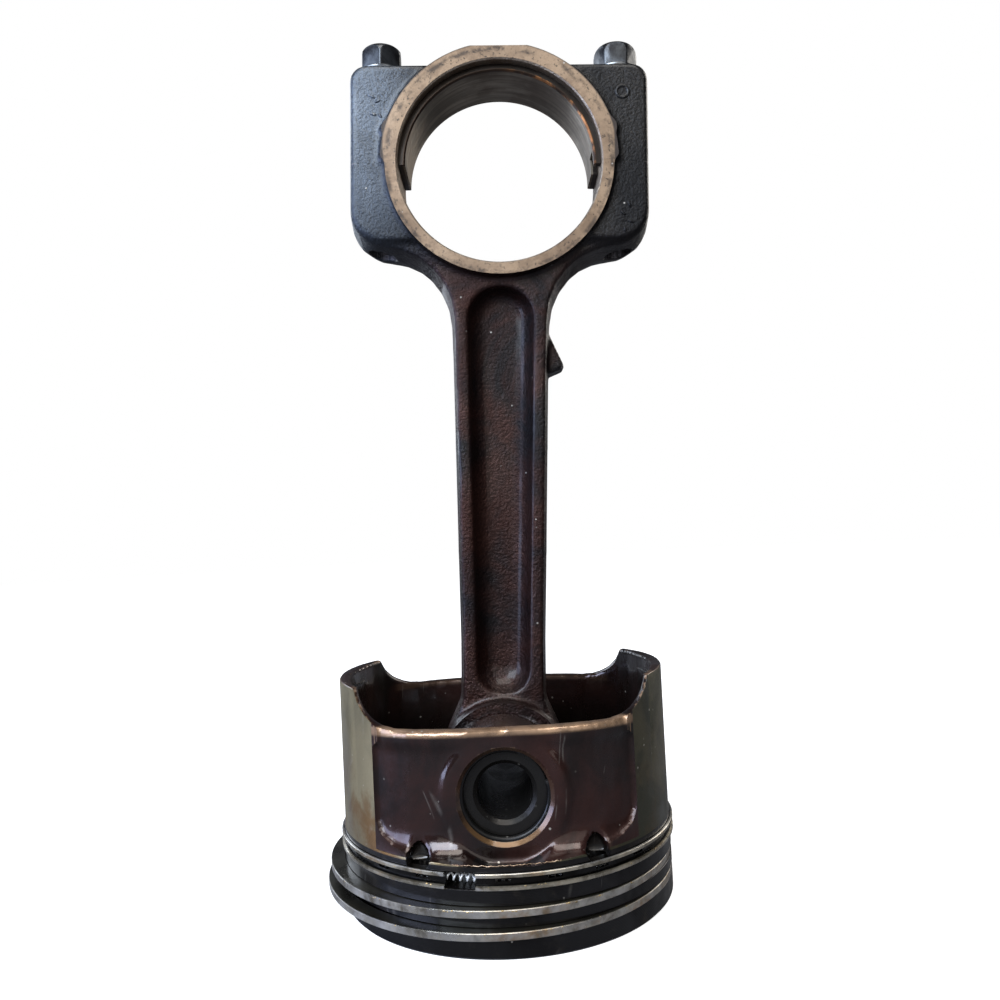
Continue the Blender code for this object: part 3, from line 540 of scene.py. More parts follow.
def oilRingBody(plan):
    centre, radius, low, high = ringShape("oil_ring")
    inner = radius - plan["oilWall"]
    middle = (low + high) / 2
    rail, deep, seat = plan["rail"], plan["channel"], plan["coilSeat"]
    section = [(inner, low), (radius - 0.12 * mm, low), (radius, low + 0.12 * mm),
               (radius, low + rail), (radius - deep, low + rail + 0.3 * mm),
               (radius - deep, high - rail - 0.3 * mm), (radius, high - rail),
               (radius, high - 0.12 * mm), (radius - 0.12 * mm, high), (inner, high)]
    for step in range(7):
        turn = math.pi * step / 6
        section.append((inner + 0.75 * seat * math.sin(turn), middle + seat * math.cos(turn)))
    ring = sweptRing("oilRingBody", section, plan["oilFrom"], plan["oilSweep"], plan["steps"])
    tools = []
    for i in range(plan["slots"]):
        at = plan["oilFrom"] + plan["oilSweep"] * (i + 0.5) / plan["slots"]
        half = plan["slotHalf"] * radius / 2
        slot = block("slot", (inner - 1 * mm, -half, middle - plan["slotHeight"] / 2),
                     (radius + 1 * mm, half, middle + plan["slotHeight"] / 2))
        slot.rotation_euler.z = at
        settle(slot)
        tools.append(slot)
    slots = joined("slots", tools)
    carve(ring, [slots])
    markRunning(ring, centre, radius)
    shadeRound(ring)
    return ring


coilPlan = {"pitch": 1.55 * mm, "wire": 0.24 * mm, "perTurn": 12, "gap": math.radians(1.6),
            "gapAt": math.radians(75)}


def coilSpring(plan):
    # The real expander: a close helix bent round behind the oil ring
    low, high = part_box("oil_ring_expander")
    coil = 0.93 * mm - plan["wire"]
    ring = (high.x - low.x) / 2 - 0.95 * mm
    height = (low.z + high.z) / 2
    sweep = 2 * math.pi - plan["gap"]
    turns = int(ring * sweep / plan["pitch"])
    count = turns * plan["perTurn"]
    points = []
    for i in range(count + 1):
        along = plan["gapAt"] + plan["gap"] / 2 + sweep * i / count
        turn = 2 * math.pi * i / plan["perTurn"]
        radius = ring + coil * math.cos(turn)
        points.append(((radius * math.cos(along), radius * math.sin(along),
                        height + coil * math.sin(turn)), 1))
    return bentWire("expanderCoil", plan["wire"], 1, points)


topRing = compressionRing("topRing", "top_compression_ring", ringPlan["topGapAt"], ringPlan)
secondRing = compressionRing("secondRing", "second_compression_ring", ringPlan["secondGapAt"], ringPlan)
oilRing = oilRingBody(ringPlan)
expanderCoil = coilSpring(coilPlan)
for piece, body, node, finish in (
        (topRing, "top_ring", "top_compression_ring", "ring_iron"),
        (secondRing, "second_ring", "second_compression_ring", "ring_iron"),
        (oilRing, "oil_ring_set", "oil_ring", "ring_iron"),
        (expanderCoil, "oil_ring_set", "oil_ring_expander", "spring_steel")):
    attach(piece, body)
    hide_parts(node)
print("rings made")


# Wrist pin, clips and bush

pinPlan = {"hole": 6.35 * mm, "ease": 0.5 * mm, "holeEase": 0.9 * mm, "sides": 128,
           "clipGap": math.radians(52), "clipGapAt": math.radians(42), "clipWire": 0.8 * mm}


def wristPin(plan):
    radius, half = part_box("wrist_pin")[1].xy
    hole, ease, holeEase = plan["hole"], plan["ease"], plan["holeEase"]
    outline = [(hole, -half + holeEase), (hole + holeEase, -half), (radius - ease, -half),
               (radius, -half + ease), (radius, half - ease), (radius - ease, half),
               (hole + holeEase, half), (hole, half - holeEase), (hole, -half + holeEase)]
    pin = turnedSolid("hollowPin", outline, plan["sides"], "Y", (0, 0, pinCentre.z))
    shadeRound(pin)
    return pin


def springClip(name, node, plan):
    low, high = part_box(node)
    wire = plan["clipWire"]
    centreRadius = high.x - wire
    section = [(centreRadius + wire * math.cos(math.pi * i / 6), wire * math.sin(math.pi * i / 6))
               for i in range(12)]
    start = plan["clipGapAt"] + plan["clipGap"] / 2
    clip = sweptRing(name, section, start, 2 * math.pi - plan["clipGap"], 72)
    clip.rotation_euler.x = math.pi / 2
    clip.location = (0, (low.y + high.y) / 2, pinCentre.z)
    settle(clip)
    shadeRound(clip)
    return clip


def eyeBush(plan):
    low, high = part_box("small_end_bush")
    outer = (high.x - low.x) / 2
    half = high.y
    inner = outer - 1.6 * mm
    outline = [(inner, -half + 0.4 * mm), (inner + 0.4 * mm, -half), (outer, -half), (outer, half),
               (inner + 0.4 * mm, half), (inner, half - 0.4 * mm), (inner, -half + 0.4 * mm)]
    bush = turnedSolid("eyeBush", outline, plan["sides"], "Y")
    standOnPin(bush)
    shadeRound(bush)
    return bush


hollowPin = wristPin(pinPlan)
frontClip = springClip("frontClip", "circlip_front", pinPlan)
rearClip = springClip("rearClip", "circlip_rear", pinPlan)
bush = eyeBush(pinPlan)
for piece, body, node, finish in (
        (hollowPin, "pin", "wrist_pin", "pin_steel"), (frontClip, "piston", "circlip_front", "clip_steel"),
        (rearClip, "piston", "circlip_rear", "clip_steel"), (bush, "rod", "small_end_bush", "bush_bronze")):
    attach(piece, body)
    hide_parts(node)
print("pin, clips and bush made")


# Bearing shell

shellPlan = {"outer": 25.97 * mm, "wall": 1.75 * mm, "half": 8.5 * mm, "ease": 0.35 * mm,
             "tangWidth": 5.0 * mm, "tangAt": -4.0 * mm, "notch": 2.6 * mm, "sag": math.radians(0.35)}


def halfShell(plan):
    outer, inner, half, ease = plan["outer"], plan["outer"] - plan["wall"], plan["half"], plan["ease"]
    section = [(inner + ease, -half), (outer, -half), (outer, half), (inner + ease, half),
               (inner, half - ease), (inner, -half + ease)]
    shell = sweptRing("halfShell", section, -plan["sag"], math.pi + 2 * plan["sag"], 160)
    shell.rotation_euler.x = math.pi / 2
    shell.location = (0, 0, rodLength)
    settle(shell)
    # the tang is pressed out of the wall and leaves a notch inside
    start, end = plan["tangAt"] - plan["tangWidth"] / 2, plan["tangAt"] + plan["tangWidth"] / 2
    notch = rodBar("notch", plan["notch"], start, end, 32,
                   at=(inner + 0.1 * mm, 0, rodLength + 1.2 * mm))
    carve(shell, [notch])
    standOnPin(shell)
    shadeRound(shell)
    return shell


bearingShell = halfShell(shellPlan)
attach(bearingShell, "rod")
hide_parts("cap_bearing_shell")
print("bearing shell made")


# Rod bolts

boltPlan = {
    "shank": 3.5 * mm, "acrossFlats": 10.0 * mm, "flangeRadius": 5.85 * mm, "flangeHeight": 1.2 * mm,
    "headTop": 7.6 * mm, "turns": (math.radians(33), math.radians(54)), "threadPitch": 1.0 * mm,
    "threadFrom": -22.0 * mm, "threadDepth": 0.45 * mm, "end": -44.2 * mm,
}


def rodBolt(name, hand, plan):
    corner = plan["acrossFlats"] / math.sqrt(3)
    top = plan["headTop"]
    turn = plan["turns"][0 if hand < 0 else 1]
    deselectAll()
    foot = plan["flangeHeight"] - 0.5 * mm
    bpy.ops.mesh.primitive_cylinder_add(vertices=6, radius=corner, depth=top - foot,
                                        location=(0, 0, (top + foot) / 2),
                                        rotation=(0, 0, turn + math.pi / 6))
    head = newest(name)
    settle(head)
    soft = head.modifiers.new("soft", "BEVEL")
    soft.width = 0.28 * mm
    soft.segments = 3
    soft.limit_method = "ANGLE"
    applyModifiers(head)
    dome = [(0, -1 * mm), (corner + 1 * mm, -1 * mm), (corner + 1 * mm, top - 3.3 * mm)]
    steps = 8
    for i in range(steps + 1):
        part = math.pi / 2 * i / steps
        dome.append(((corner - 0.15 * mm) * (0.55 + 0.45 * math.cos(part)),
                     top - 2.6 * mm + 2.5 * mm * math.sin(part)))
    dome.append((0, top))
    carve(head, [turnedSolid("dome", dome, 96)], "INTERSECT")
    shank, edge = plan["shank"], plan["flangeRadius"]
    seatHeight = plan["flangeHeight"]
    end = plan["end"]
    profile = [(0, end), (shank - 0.9 * mm, end), (shank, end + 0.9 * mm)]
    thread = end + 0.9 * mm
    while thread < plan["threadFrom"] - plan["threadPitch"]:
        profile += [(shank - plan["threadDepth"], thread + plan["threadPitch"] / 2),
                    (shank, thread + plan["threadPitch"])]
        thread += plan["threadPitch"]
    profile += [(shank, 0.02 * mm), (edge - 0.25 * mm, 0.02 * mm), (edge, 0.3 * mm),
                (edge, seatHeight - 0.35 * mm), (edge - 0.3 * mm, seatHeight), (0, seatHeight)]
    body = turnedSolid("boltBody", profile, 64)
    carve(head, [body], "UNION")
    head.data.transform(Matrix.Translation((hand * rodPlan["boltX"], 0, rodLength + rodPlan["seatRise"])))
    standOnPin(head)
    shadeRound(head, 28)
    return head


for hand, side in ((-1, "left"), (1, "right")):
    bolt = rodBolt(side + "Bolt", hand, boltPlan)
    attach(bolt, "rod")
    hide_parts("rod_bolt_" + side)
print("bolts made")


# Marks on the forging: plain pips and bars, and a round dimple



markPlan = {
    "face": 9.3 * mm, "pipRadius": 0.5 * mm, "dimple": (1.5 * mm, 0.55 * mm), "dimpleAt": (31.6, 18.0),
    # across and up from the bore's centre in mm, length and tilt
    "pips": ((-32.6, 17.2, 2.6, 0.5), (-31.0, 16.0, 2.0, -0.4), (-32.2, 12.6, 2.2, 0.2),
             (-30.4, 12.2, 1.6, 0.9), (33.0, -11.2, 2.6, 1.2), (31.4, -13.4, 2.0, 0.7),
             (33.4, -15.6, 2.2, 0.3), (31.8, -17.6, 1.6, 1.4)),
}


def earMarks(plan):
    top = rodLength
    parts = []
    for x, z, long, tilt in plan["pips"]:
        deselectAll()
        bpy.ops.mesh.primitive_uv_sphere_add(segments=16, ring_count=10, radius=plan["pipRadius"],
                                             location=(x * mm, -plan["face"], top + z * mm),
                                             rotation=(0, tilt, 0), scale=(long, 0.9, 0.9))
        parts.append(newest("pip"))
        settle(parts[-1])
    deselectAll()
    wide, thin = plan["dimple"]
    x, z = plan["dimpleAt"]
    bpy.ops.mesh.primitive_torus_add(major_radius=wide, minor_radius=thin, major_segments=40,
                                     minor_segments=14, rotation=(math.pi / 2, 0, 0),
                                     location=(x * mm, -plan["face"] + 0.1 * mm, top + z * mm))
    parts.append(newest("dimple"))
    settle(parts[-1])
    marks = joined("earMarks", parts)
    standOnPin(marks)
    pick(marks)
    bpy.ops.object.shade_smooth()
    return marks


earPips = earMarks(markPlan)
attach(earPips, "rod")


# Wet oil beads along the rings, and the flash left at the windows' feet

beadPlan = {
    "seed": 11,
    "rows": (
        ("oilBeadsLow", "top_ring", "top_compression_ring", 34, (0.10, 0.26), 1.0),
        ("oilBeadsMiddle", "second_ring", "second_compression_ring", 120, (0.10, 0.30), 1.0),
        ("oilBeadsHigh", "oil_ring_set", "oil_ring", 70, (0.09, 0.26), 0.0),
    ),
    "burrReach": 15.5 * mm, "burrWire": 0.11 * mm, "burrPoints": 90,
}


def oilBeads(name, node, count, sizes, upper, rng):
    low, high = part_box(node)
    radius = (high.y - low.y) / 2
    centreX = low.x + radius
    drops = []
    for _ in range(count):
        # thicker at the front and the back, where the oil has run down
        angle = rng.choice((-0.5, 0.5)) * math.pi + rng.uniform(-1.25, 1.25)
        size = rng.uniform(*sizes) * mm
        if upper or rng.random() < 0.5:
            z = high.z - 0.8 * size - rng.uniform(0.0, 0.2) * mm
        else:
            z = low.z + rng.uniform(0.55, 0.85) * mm
        if node == "oil_ring" and math.radians(248) < angle % (2 * math.pi) < math.radians(263):
            continue
        deselectAll()
        bpy.ops.mesh.primitive_uv_sphere_add(segments=12, ring_count=8, radius=size,
                                             location=(centreX + (radius - 0.1 * mm) * math.cos(angle),
                                                       (radius - 0.1 * mm) * math.sin(angle), z),
                                             rotation=(0, 0, angle),
                                             scale=(0.55, rng.uniform(0.9, 2.2), 0.75))
        drops.append(newest("drop"))
    beads = joined(name, drops)
    settle(beads)
    pick(beads)
    bpy.ops.object.shade_smooth()
    return beads


def windowBurr(name, side, plan, rng):
    count = plan["burrPoints"]
    points = []
    outside = pistonRadius - pistonPlan["skirtRelief"] - 0.12 * mm
    for i in range(count):
        x = plan["burrReach"] * (2 * i / (count - 1) - 1)
        z = pistonPlan["skirtFrom"] + 0.1 * mm + rng.uniform(-0.14, 0.14) * mm
        y = side * (math.sqrt(outside ** 2 - x ** 2) - rng.uniform(0, 0.1) * mm)
        points.append(((x, y, z), rng.uniform(0.25, 1.25)))
    return bentWire(name, plan["burrWire"], 2, points)


beadDice = random.Random(beadPlan["seed"])
beadPieces = []
for name, body, node, count, sizes, upper in beadPlan["rows"]:
    beads = oilBeads(name, node, count, sizes, upper, beadDice)
    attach(beads, body)
    beadPieces.append(beads)
burrPieces = []
for name, side in (("frontBurr", -1), ("rearBurr", 1)):
    burr = windowBurr(name, side, beadPlan, beadDice)
    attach(burr, "piston")
    burrPieces.append(burr)
print("beads and burrs made")


# Finishes

def groupOf(name, inputs, outputs):
    tree = bpy.data.node_groups.new(name, "ShaderNodeTree")
    for label, kind, value in inputs:
        socket = tree.interface.new_socket(name=label, in_out="INPUT", socket_type="NodeSocket" + kind)
        if value is not None:
            socket.default_value = value
    for label, kind in outputs:
        tree.interface.new_socket(name=label, in_out="OUTPUT", socket_type="NodeSocket" + kind)
    return tree, tree.nodes.new("NodeGroupInput"), tree.nodes.new("NodeGroupOutput")


def put(tree, socket, value):
    if isinstance(value, bpy.types.NodeSocket):
        tree.links.new(value, socket)
    elif value is not None:
        socket.default_value = value


def maths(tree, operation, a, b=None, clamp=False):
    node = tree.nodes.new("ShaderNodeMath")
    node.operation = operation
    node.use_clamp = clamp
    for socket, value in zip(node.inputs, (a, b)):
        put(tree, socket, value)
    return node.outputs[0]


def times(tree, *values):
    product = values[0]
    for value in values[1:]:
        product = maths(tree, "MULTIPLY", product, value)
    return product


def plus(tree, a, b, clamp=False):
    return maths(tree, "ADD", a, b, clamp=clamp)


def flipped(tree, mask):
    return maths(tree, "SUBTRACT", 1.0, mask)


def sizeOf(tree, value):
    return maths(tree, "ABSOLUTE", value)


def swing(tree, value, amount):
    # A noise that averages 0.5, turned into a push either way
    return times(tree, maths(tree, "SUBTRACT", value, 0.5), amount)


def over(tree, value, limit):
    return maths(tree, "GREATER_THAN", value, limit)


def under(tree, value, limit):
    return maths(tree, "LESS_THAN", value, limit)


def spread(tree, value, low, high, start=0.0, end=1.0):
    node = tree.nodes.new("ShaderNodeMapRange")
    node.interpolation_type = "SMOOTHSTEP"
    for label, given in (("Value", value), ("From Min", low), ("From Max", high),
                         ("To Min", start), ("To Max", end)):
        put(tree, node.inputs[label], given)
    return node.outputs["Result"]


def blend(tree, amount, first, second):
    node = tree.nodes.new("ShaderNodeMix")
    node.data_type = "RGBA"
    colours = [(*c, 1) if isinstance(c, tuple) and len(c) == 3 else c for c in (first, second)]
    put(tree, node.inputs["Factor"], amount)
    put(tree, node.inputs["A"], colours[0])
    put(tree, node.inputs["B"], colours[1])
    return node.outputs["Result"]


def noise(tree, vector, scale, detail=4.0, rough=0.55, twist=0.0):
    node = tree.nodes.new("ShaderNodeTexNoise")
    for label, given in (("Vector", vector), ("Scale", scale), ("Detail", detail),
                         ("Roughness", rough), ("Distortion", twist)):
        put(tree, node.inputs[label], given)
    return node.outputs["Fac"]


def mapped(tree, vector, move=(0, 0, 0), turn=(0, 0, 0), scale=(1, 1, 1)):
    node = tree.nodes.new("ShaderNodeMapping")
    put(tree, node.inputs["Vector"], vector)
    node.inputs["Location"].default_value = move
    node.inputs["Rotation"].default_value = turn
    node.inputs["Scale"].default_value = scale
    return node.outputs["Vector"]


def parted(tree, vector):
    node = tree.nodes.new("ShaderNodeSeparateXYZ")
    put(tree, node.inputs[0], vector)
    return node.outputs["X"], node.outputs["Y"], node.outputs["Z"]


def reading(tree, name):
    node = tree.nodes.new("ShaderNodeAttribute")
    node.attribute_name = name
    return node.outputs["Fac"]


def makeDustGroup():
    # Fine pale specks: a few bright cells of a small Voronoi pattern
    tree, into, out = groupOf("dustSpecks", [("Vector", "Vector", None), ("Density", "Float", 0.1),
                                             ("Scale", "Float", 900.0)], [("Mask", "Float")])
    cell = tree.nodes.new("ShaderNodeTexVoronoi")
    put(tree, cell.inputs["Vector"], into.outputs["Vector"])
    put(tree, cell.inputs["Scale"], into.outputs["Scale"])
    near = spread(tree, cell.outputs["Distance"], 0.32, 0.16)
    pickCell, _, size = parted(tree, cell.outputs["Color"])
    chosen = under(tree, pickCell, into.outputs["Density"])
    put(tree, out.inputs["Mask"], times(tree, near, times(tree, chosen, size)))
    return tree


def makeScratchGroup():
    # Thin, broken, slightly bent lines
    tree, into, out = groupOf("fineScratches", [("Vector", "Vector", None), ("Scale", "Float", 60.0),
                                                ("Width", "Float", 0.012)], [("Mask", "Float")])
    masks = []
    for turn in (0.6, -0.9):
        vector = mapped(tree, into.outputs["Vector"], turn=(0, turn, 0.4 * turn), scale=(1, 1, 0.22))
        lines = noise(tree, vector, into.outputs["Scale"], 1.0, 0.4, 0.6)
        off = sizeOf(tree, maths(tree, "SUBTRACT", lines, 0.5))
        thin = spread(tree, off, into.outputs["Width"], 0.0)
        broken = spread(tree, noise(tree, into.outputs["Vector"], 130.0, 2.0), 0.56, 0.66)
        masks.append(times(tree, thin, broken))
    put(tree, out.inputs["Mask"], maths(tree, "MAXIMUM", masks[0], masks[1]))
    return tree


def makeWearGroup():
    # Convex edges rubbed bright, broken up by a fine noise
    tree, into, out = groupOf("edgeWear", [("Vector", "Vector", None), ("Amount", "Float", 0.5)],
                              [("Mask", "Float")])
    edge = reading(tree, "edge")
    rough = noise(tree, into.outputs["Vector"], 420.0, 5.0, 0.6)
    pushed = plus(tree, edge, swing(tree, rough, 0.9))
    low = flipped(tree, into.outputs["Amount"])
    put(tree, out.inputs["Mask"], spread(tree, pushed, low, plus(tree, low, 0.35)))
    return tree


def makeOilGroup():
    # Uneven oil film: patches, runs and a fine grain for the gloss to break on
    tree, into, out = groupOf("oilFilm", [("Vector", "Vector", None), ("Scale", "Float", 60.0)],
                              [("Film", "Float"), ("Grain", "Float")])
    drawn = mapped(tree, into.outputs["Vector"], scale=(1, 1, 0.45))
    broad = noise(tree, drawn, into.outputs["Scale"], 5.0, 0.6, 0.4)
    put(tree, out.inputs["Film"], spread(tree, broad, 0.36, 0.64))
    put(tree, out.inputs["Grain"], noise(tree, into.outputs["Vector"], 1500.0, 3.0, 0.6))
    return tree


dustGroup, scratchGroup = makeDustGroup(), makeScratchGroup()
wearGroup, oilGroup = makeWearGroup(), makeOilGroup()


def use(tree, group, **values):
    node = tree.nodes.new("ShaderNodeGroup")
    node.node_tree = group
    for label, given in values.items():
        put(tree, node.inputs[label], given)
    return node.outputs


def newFinish(name):
    material = bpy.data.materials.new(name)
    material.use_nodes = True
    tree = material.node_tree
    shader = tree.nodes["Principled BSDF"]
    where = tree.nodes.new("ShaderNodeTexCoord").outputs["Object"]
    return material, tree, shader, where


def bumped(tree, shader, height, strength, distance=0.0003):
    node = tree.nodes.new("ShaderNodeBump")
    node.inputs["Strength"].default_value = strength
    node.inputs["Distance"].default_value = distance
    put(tree, node.inputs["Height"], height)
    put(tree, shader.inputs["Normal"], node.outputs["Normal"])


def reachFrom(tree, where, centre=(0, 0, 0), keep=(1, 1, 0)):
    # Distance from an axis through the centre, along the direction that keep leaves out
    node = tree.nodes.new("ShaderNodeVectorMath")
    node.operation = "LENGTH"
    move = tuple(-c * k for c, k in zip(centre, keep))
    put(tree, node.inputs[0], mapped(tree, where, move=move, scale=keep))
    return node.outputs["Value"]


def roundOf(tree, where, centre):
    return reachFrom(tree, where, centre, (1, 0, 1))


forgePlan = {
    # the blue-grey tone is a painted sheen, a reflection of the left lamp painted on the left ear
    "paintedSheenBlueGrey": (0.060, 0.072, 0.090), "black": (0.004, 0.003, 0.004), "brown": (0.030, 0.010, 0.007),
    "worn": (0.22, 0.20, 0.20), "tan": (0.27, 0.185, 0.115), "tanDark": (0.105, 0.062, 0.036),
    "bore": (0.17, 0.135, 0.10), "chamfer": (0.30, 0.25, 0.20), "dust": (0.45, 0.43, 0.40),
    # the hollow black is painted shade for the hollows
    "earBlack": (0.005, 0.005, 0.006), "hollowShadeBlack": (0.004, 0.003, 0.003), "pit": (0.02, 0.014, 0.010),
    "rimDirt": (0.03, 0.02, 0.014), "lobe": (0.026, 0.017, 0.013),
    "rimAt": 28.7 * mm, "faceReach": 36 * mm, "hoopReach": (29.0 * mm, 29.9 * mm),
}


def forgedFinish(plan):
    material, tree, shader, where = newFinish("forgedOily")
    x, y, z = parted(tree, where)
    depth = sizeOf(tree, y)
    ringRound = roundOf(tree, where, bigCentre)
    oil = use(tree, oilGroup, Vector=where, Scale=55.0)
    patches = spread(tree, noise(tree, where, 38.0, 5.0, 0.62, 0.5), 0.38, 0.62)
    upper = spread(tree, z, 0.150, 0.168)
    # painted sheen: the left ear turns blue-grey towards the left and the top, where the lamp's reflection falls
    paintedSheenLeftTop = times(tree, spread(tree, x, -0.010, -0.028), spread(tree, z, 0.160, 0.184, 0.25, 1.0))
    shank = blend(tree, patches, plan["black"], plan["brown"])
    ears = blend(tree, times(tree, paintedSheenLeftTop, spread(tree, patches, 0.0, 1.0, 0.60, 1.0)),
                 plan["earBlack"], plan["paintedSheenBlueGrey"])
    skin = blend(tree, upper, shank, ears)
    # painted shade: hollows darkened towards black
    skin = blend(tree, times(tree, reading(tree, "hollow"), 0.8), skin, plan["hollowShadeBlack"])
    wear = use(tree, wearGroup, Vector=where, Amount=0.5)["Mask"]
    skin = blend(tree, times(tree, wear, 0.55), skin, plan["worn"])
    # machined side faces, tan with dark specks
    dirt = spread(tree, noise(tree, where, 260.0, 6.0, 0.68, 0.3), 0.42, 0.62)
    stain = spread(tree, noise(tree, where, 70.0, 4.0, 0.6), 0.40, 0.66)
    tan = blend(tree, times(tree, stain, 0.5), plan["tan"], plan["tanDark"])
    tan = blend(tree, times(tree, dirt, 0.45), tan, plan["tanDark"])
    pits = spread(tree, noise(tree, where, 900.0, 3.0, 0.7), 0.57, 0.68)
    tan = blend(tree, times(tree, pits, 0.85), tan, plan["pit"])
    rim = spread(tree, sizeOf(tree, maths(tree, "SUBTRACT", ringRound, plan["rimAt"])), 0.0009, 0.0002)
    tan = blend(tree, times(tree, rim, times(tree, dirt, 0.8)), tan, plan["rimDirt"])
    face = times(tree, over(tree, depth, rodPlan["ringHalf"] - 0.04 * mm),
                 under(tree, ringRound, plan["faceReach"]))
    inBore = under(tree, ringRound, rodPlan["boreRadius"] + 0.06 * mm)
    inEase = under(tree, ringRound, rodPlan["boreRadius"] + rodPlan["boreChamfer"] + 0.02 * mm)
    notFace = flipped(tree, face)
    skin = blend(tree, times(tree, inEase, notFace), skin,
                 blend(tree, times(tree, stain, 0.8), plan["chamfer"], plan["tanDark"]))
    skin = blend(tree, inBore, skin, blend(tree, times(tree, dirt, 0.6), plan["bore"], plan["tanDark"]))
    # the lobes beside the ring are the same height but were only skimmed
    hoopEdge = spread(tree, z, rodLength + pinCentre.z, rodLength + pinCentre.z + 8 * mm,
                      *plan["hoopReach"])
    tan = blend(tree, spread(tree, maths(tree, "SUBTRACT", ringRound, hoopEdge), 0.0, 0.0005), tan,
                plan["lobe"])
    skin = blend(tree, face, skin, tan)
    specks = use(tree, dustGroup, Vector=where, Density=0.006, Scale=1100.0)["Mask"]
    skin = blend(tree, specks, skin, plan["dust"])
    put(tree, shader.inputs["Base Color"], skin)
    gloss = spread(tree, oil["Film"], 0.0, 1.0, 0.30, 0.50)
    gloss = plus(tree, gloss, swing(tree, oil["Grain"], 0.25))
    put(tree, shader.inputs["Roughness"], plus(tree, gloss, times(tree, face, 0.12), clamp=True))
    put(tree, shader.inputs["Metallic"], maths(tree, "SUBTRACT", 0.72, times(tree, face, 0.35)))
    wet = spread(tree, oil["Film"], 0.2, 1.0, 0.30, 0.05)
    put(tree, shader.inputs["Coat Weight"], times(tree, notFace, wet))
    shader.inputs["Coat Roughness"].default_value = 0.16
    grain = noise(tree, where, 1500.0, 3.0, 0.6)
    coarse = noise(tree, where, 700.0, 3.0, 0.5)
    height = plus(tree, grain, times(tree, coarse, 0.55))
    height = times(tree, height, spread(tree, face, 0.0, 1.0, 1.0, 0.15))
    bumped(tree, shader, height, 1.0, 0.00034)
    return material


castPlan = {
    # the inside tone is painted shade deep in the skirt
    "panel": (0.036, 0.012, 0.009), "panelDark": (0.010, 0.005, 0.004), "inside": (0.008, 0.005, 0.004),
    # the gold skirt tone is painted light and the olive is painted shade; the olive also colours the streaks
    "goldSkirtLit": (0.25, 0.205, 0.115), "oliveSkirtShadeAndStreaks": (0.050, 0.050, 0.031), "varnish": (0.15, 0.075, 0.022),
    # the pin hole black is painted shade inside the bore
    "land": (0.008, 0.007, 0.007), "landBrown": (0.045, 0.036, 0.026), "pinBoreShade": (0.006, 0.005, 0.005),
    # the lip tone is partly rubbed wear and partly a painted highlight
    "lip": (0.36, 0.225, 0.135), "dust": (0.52, 0.48, 0.42),
    # the bore edge tone is a painted highlight on the lower chamfer
    "boreEdgeLitCrescent": (0.15, 0.08, 0.032),
}


def superRadius(tree, x, y):
    # 1.0 on a rounded box midway through the skirt wall
    parts = []
    for value, half in ((x, 0.0388), (y, 0.0335)):
        share = maths(tree, "DIVIDE", sizeOf(tree, value), half)
        parts.append(maths(tree, "POWER", share, 3.0))
    return plus(tree, parts[0], parts[1])


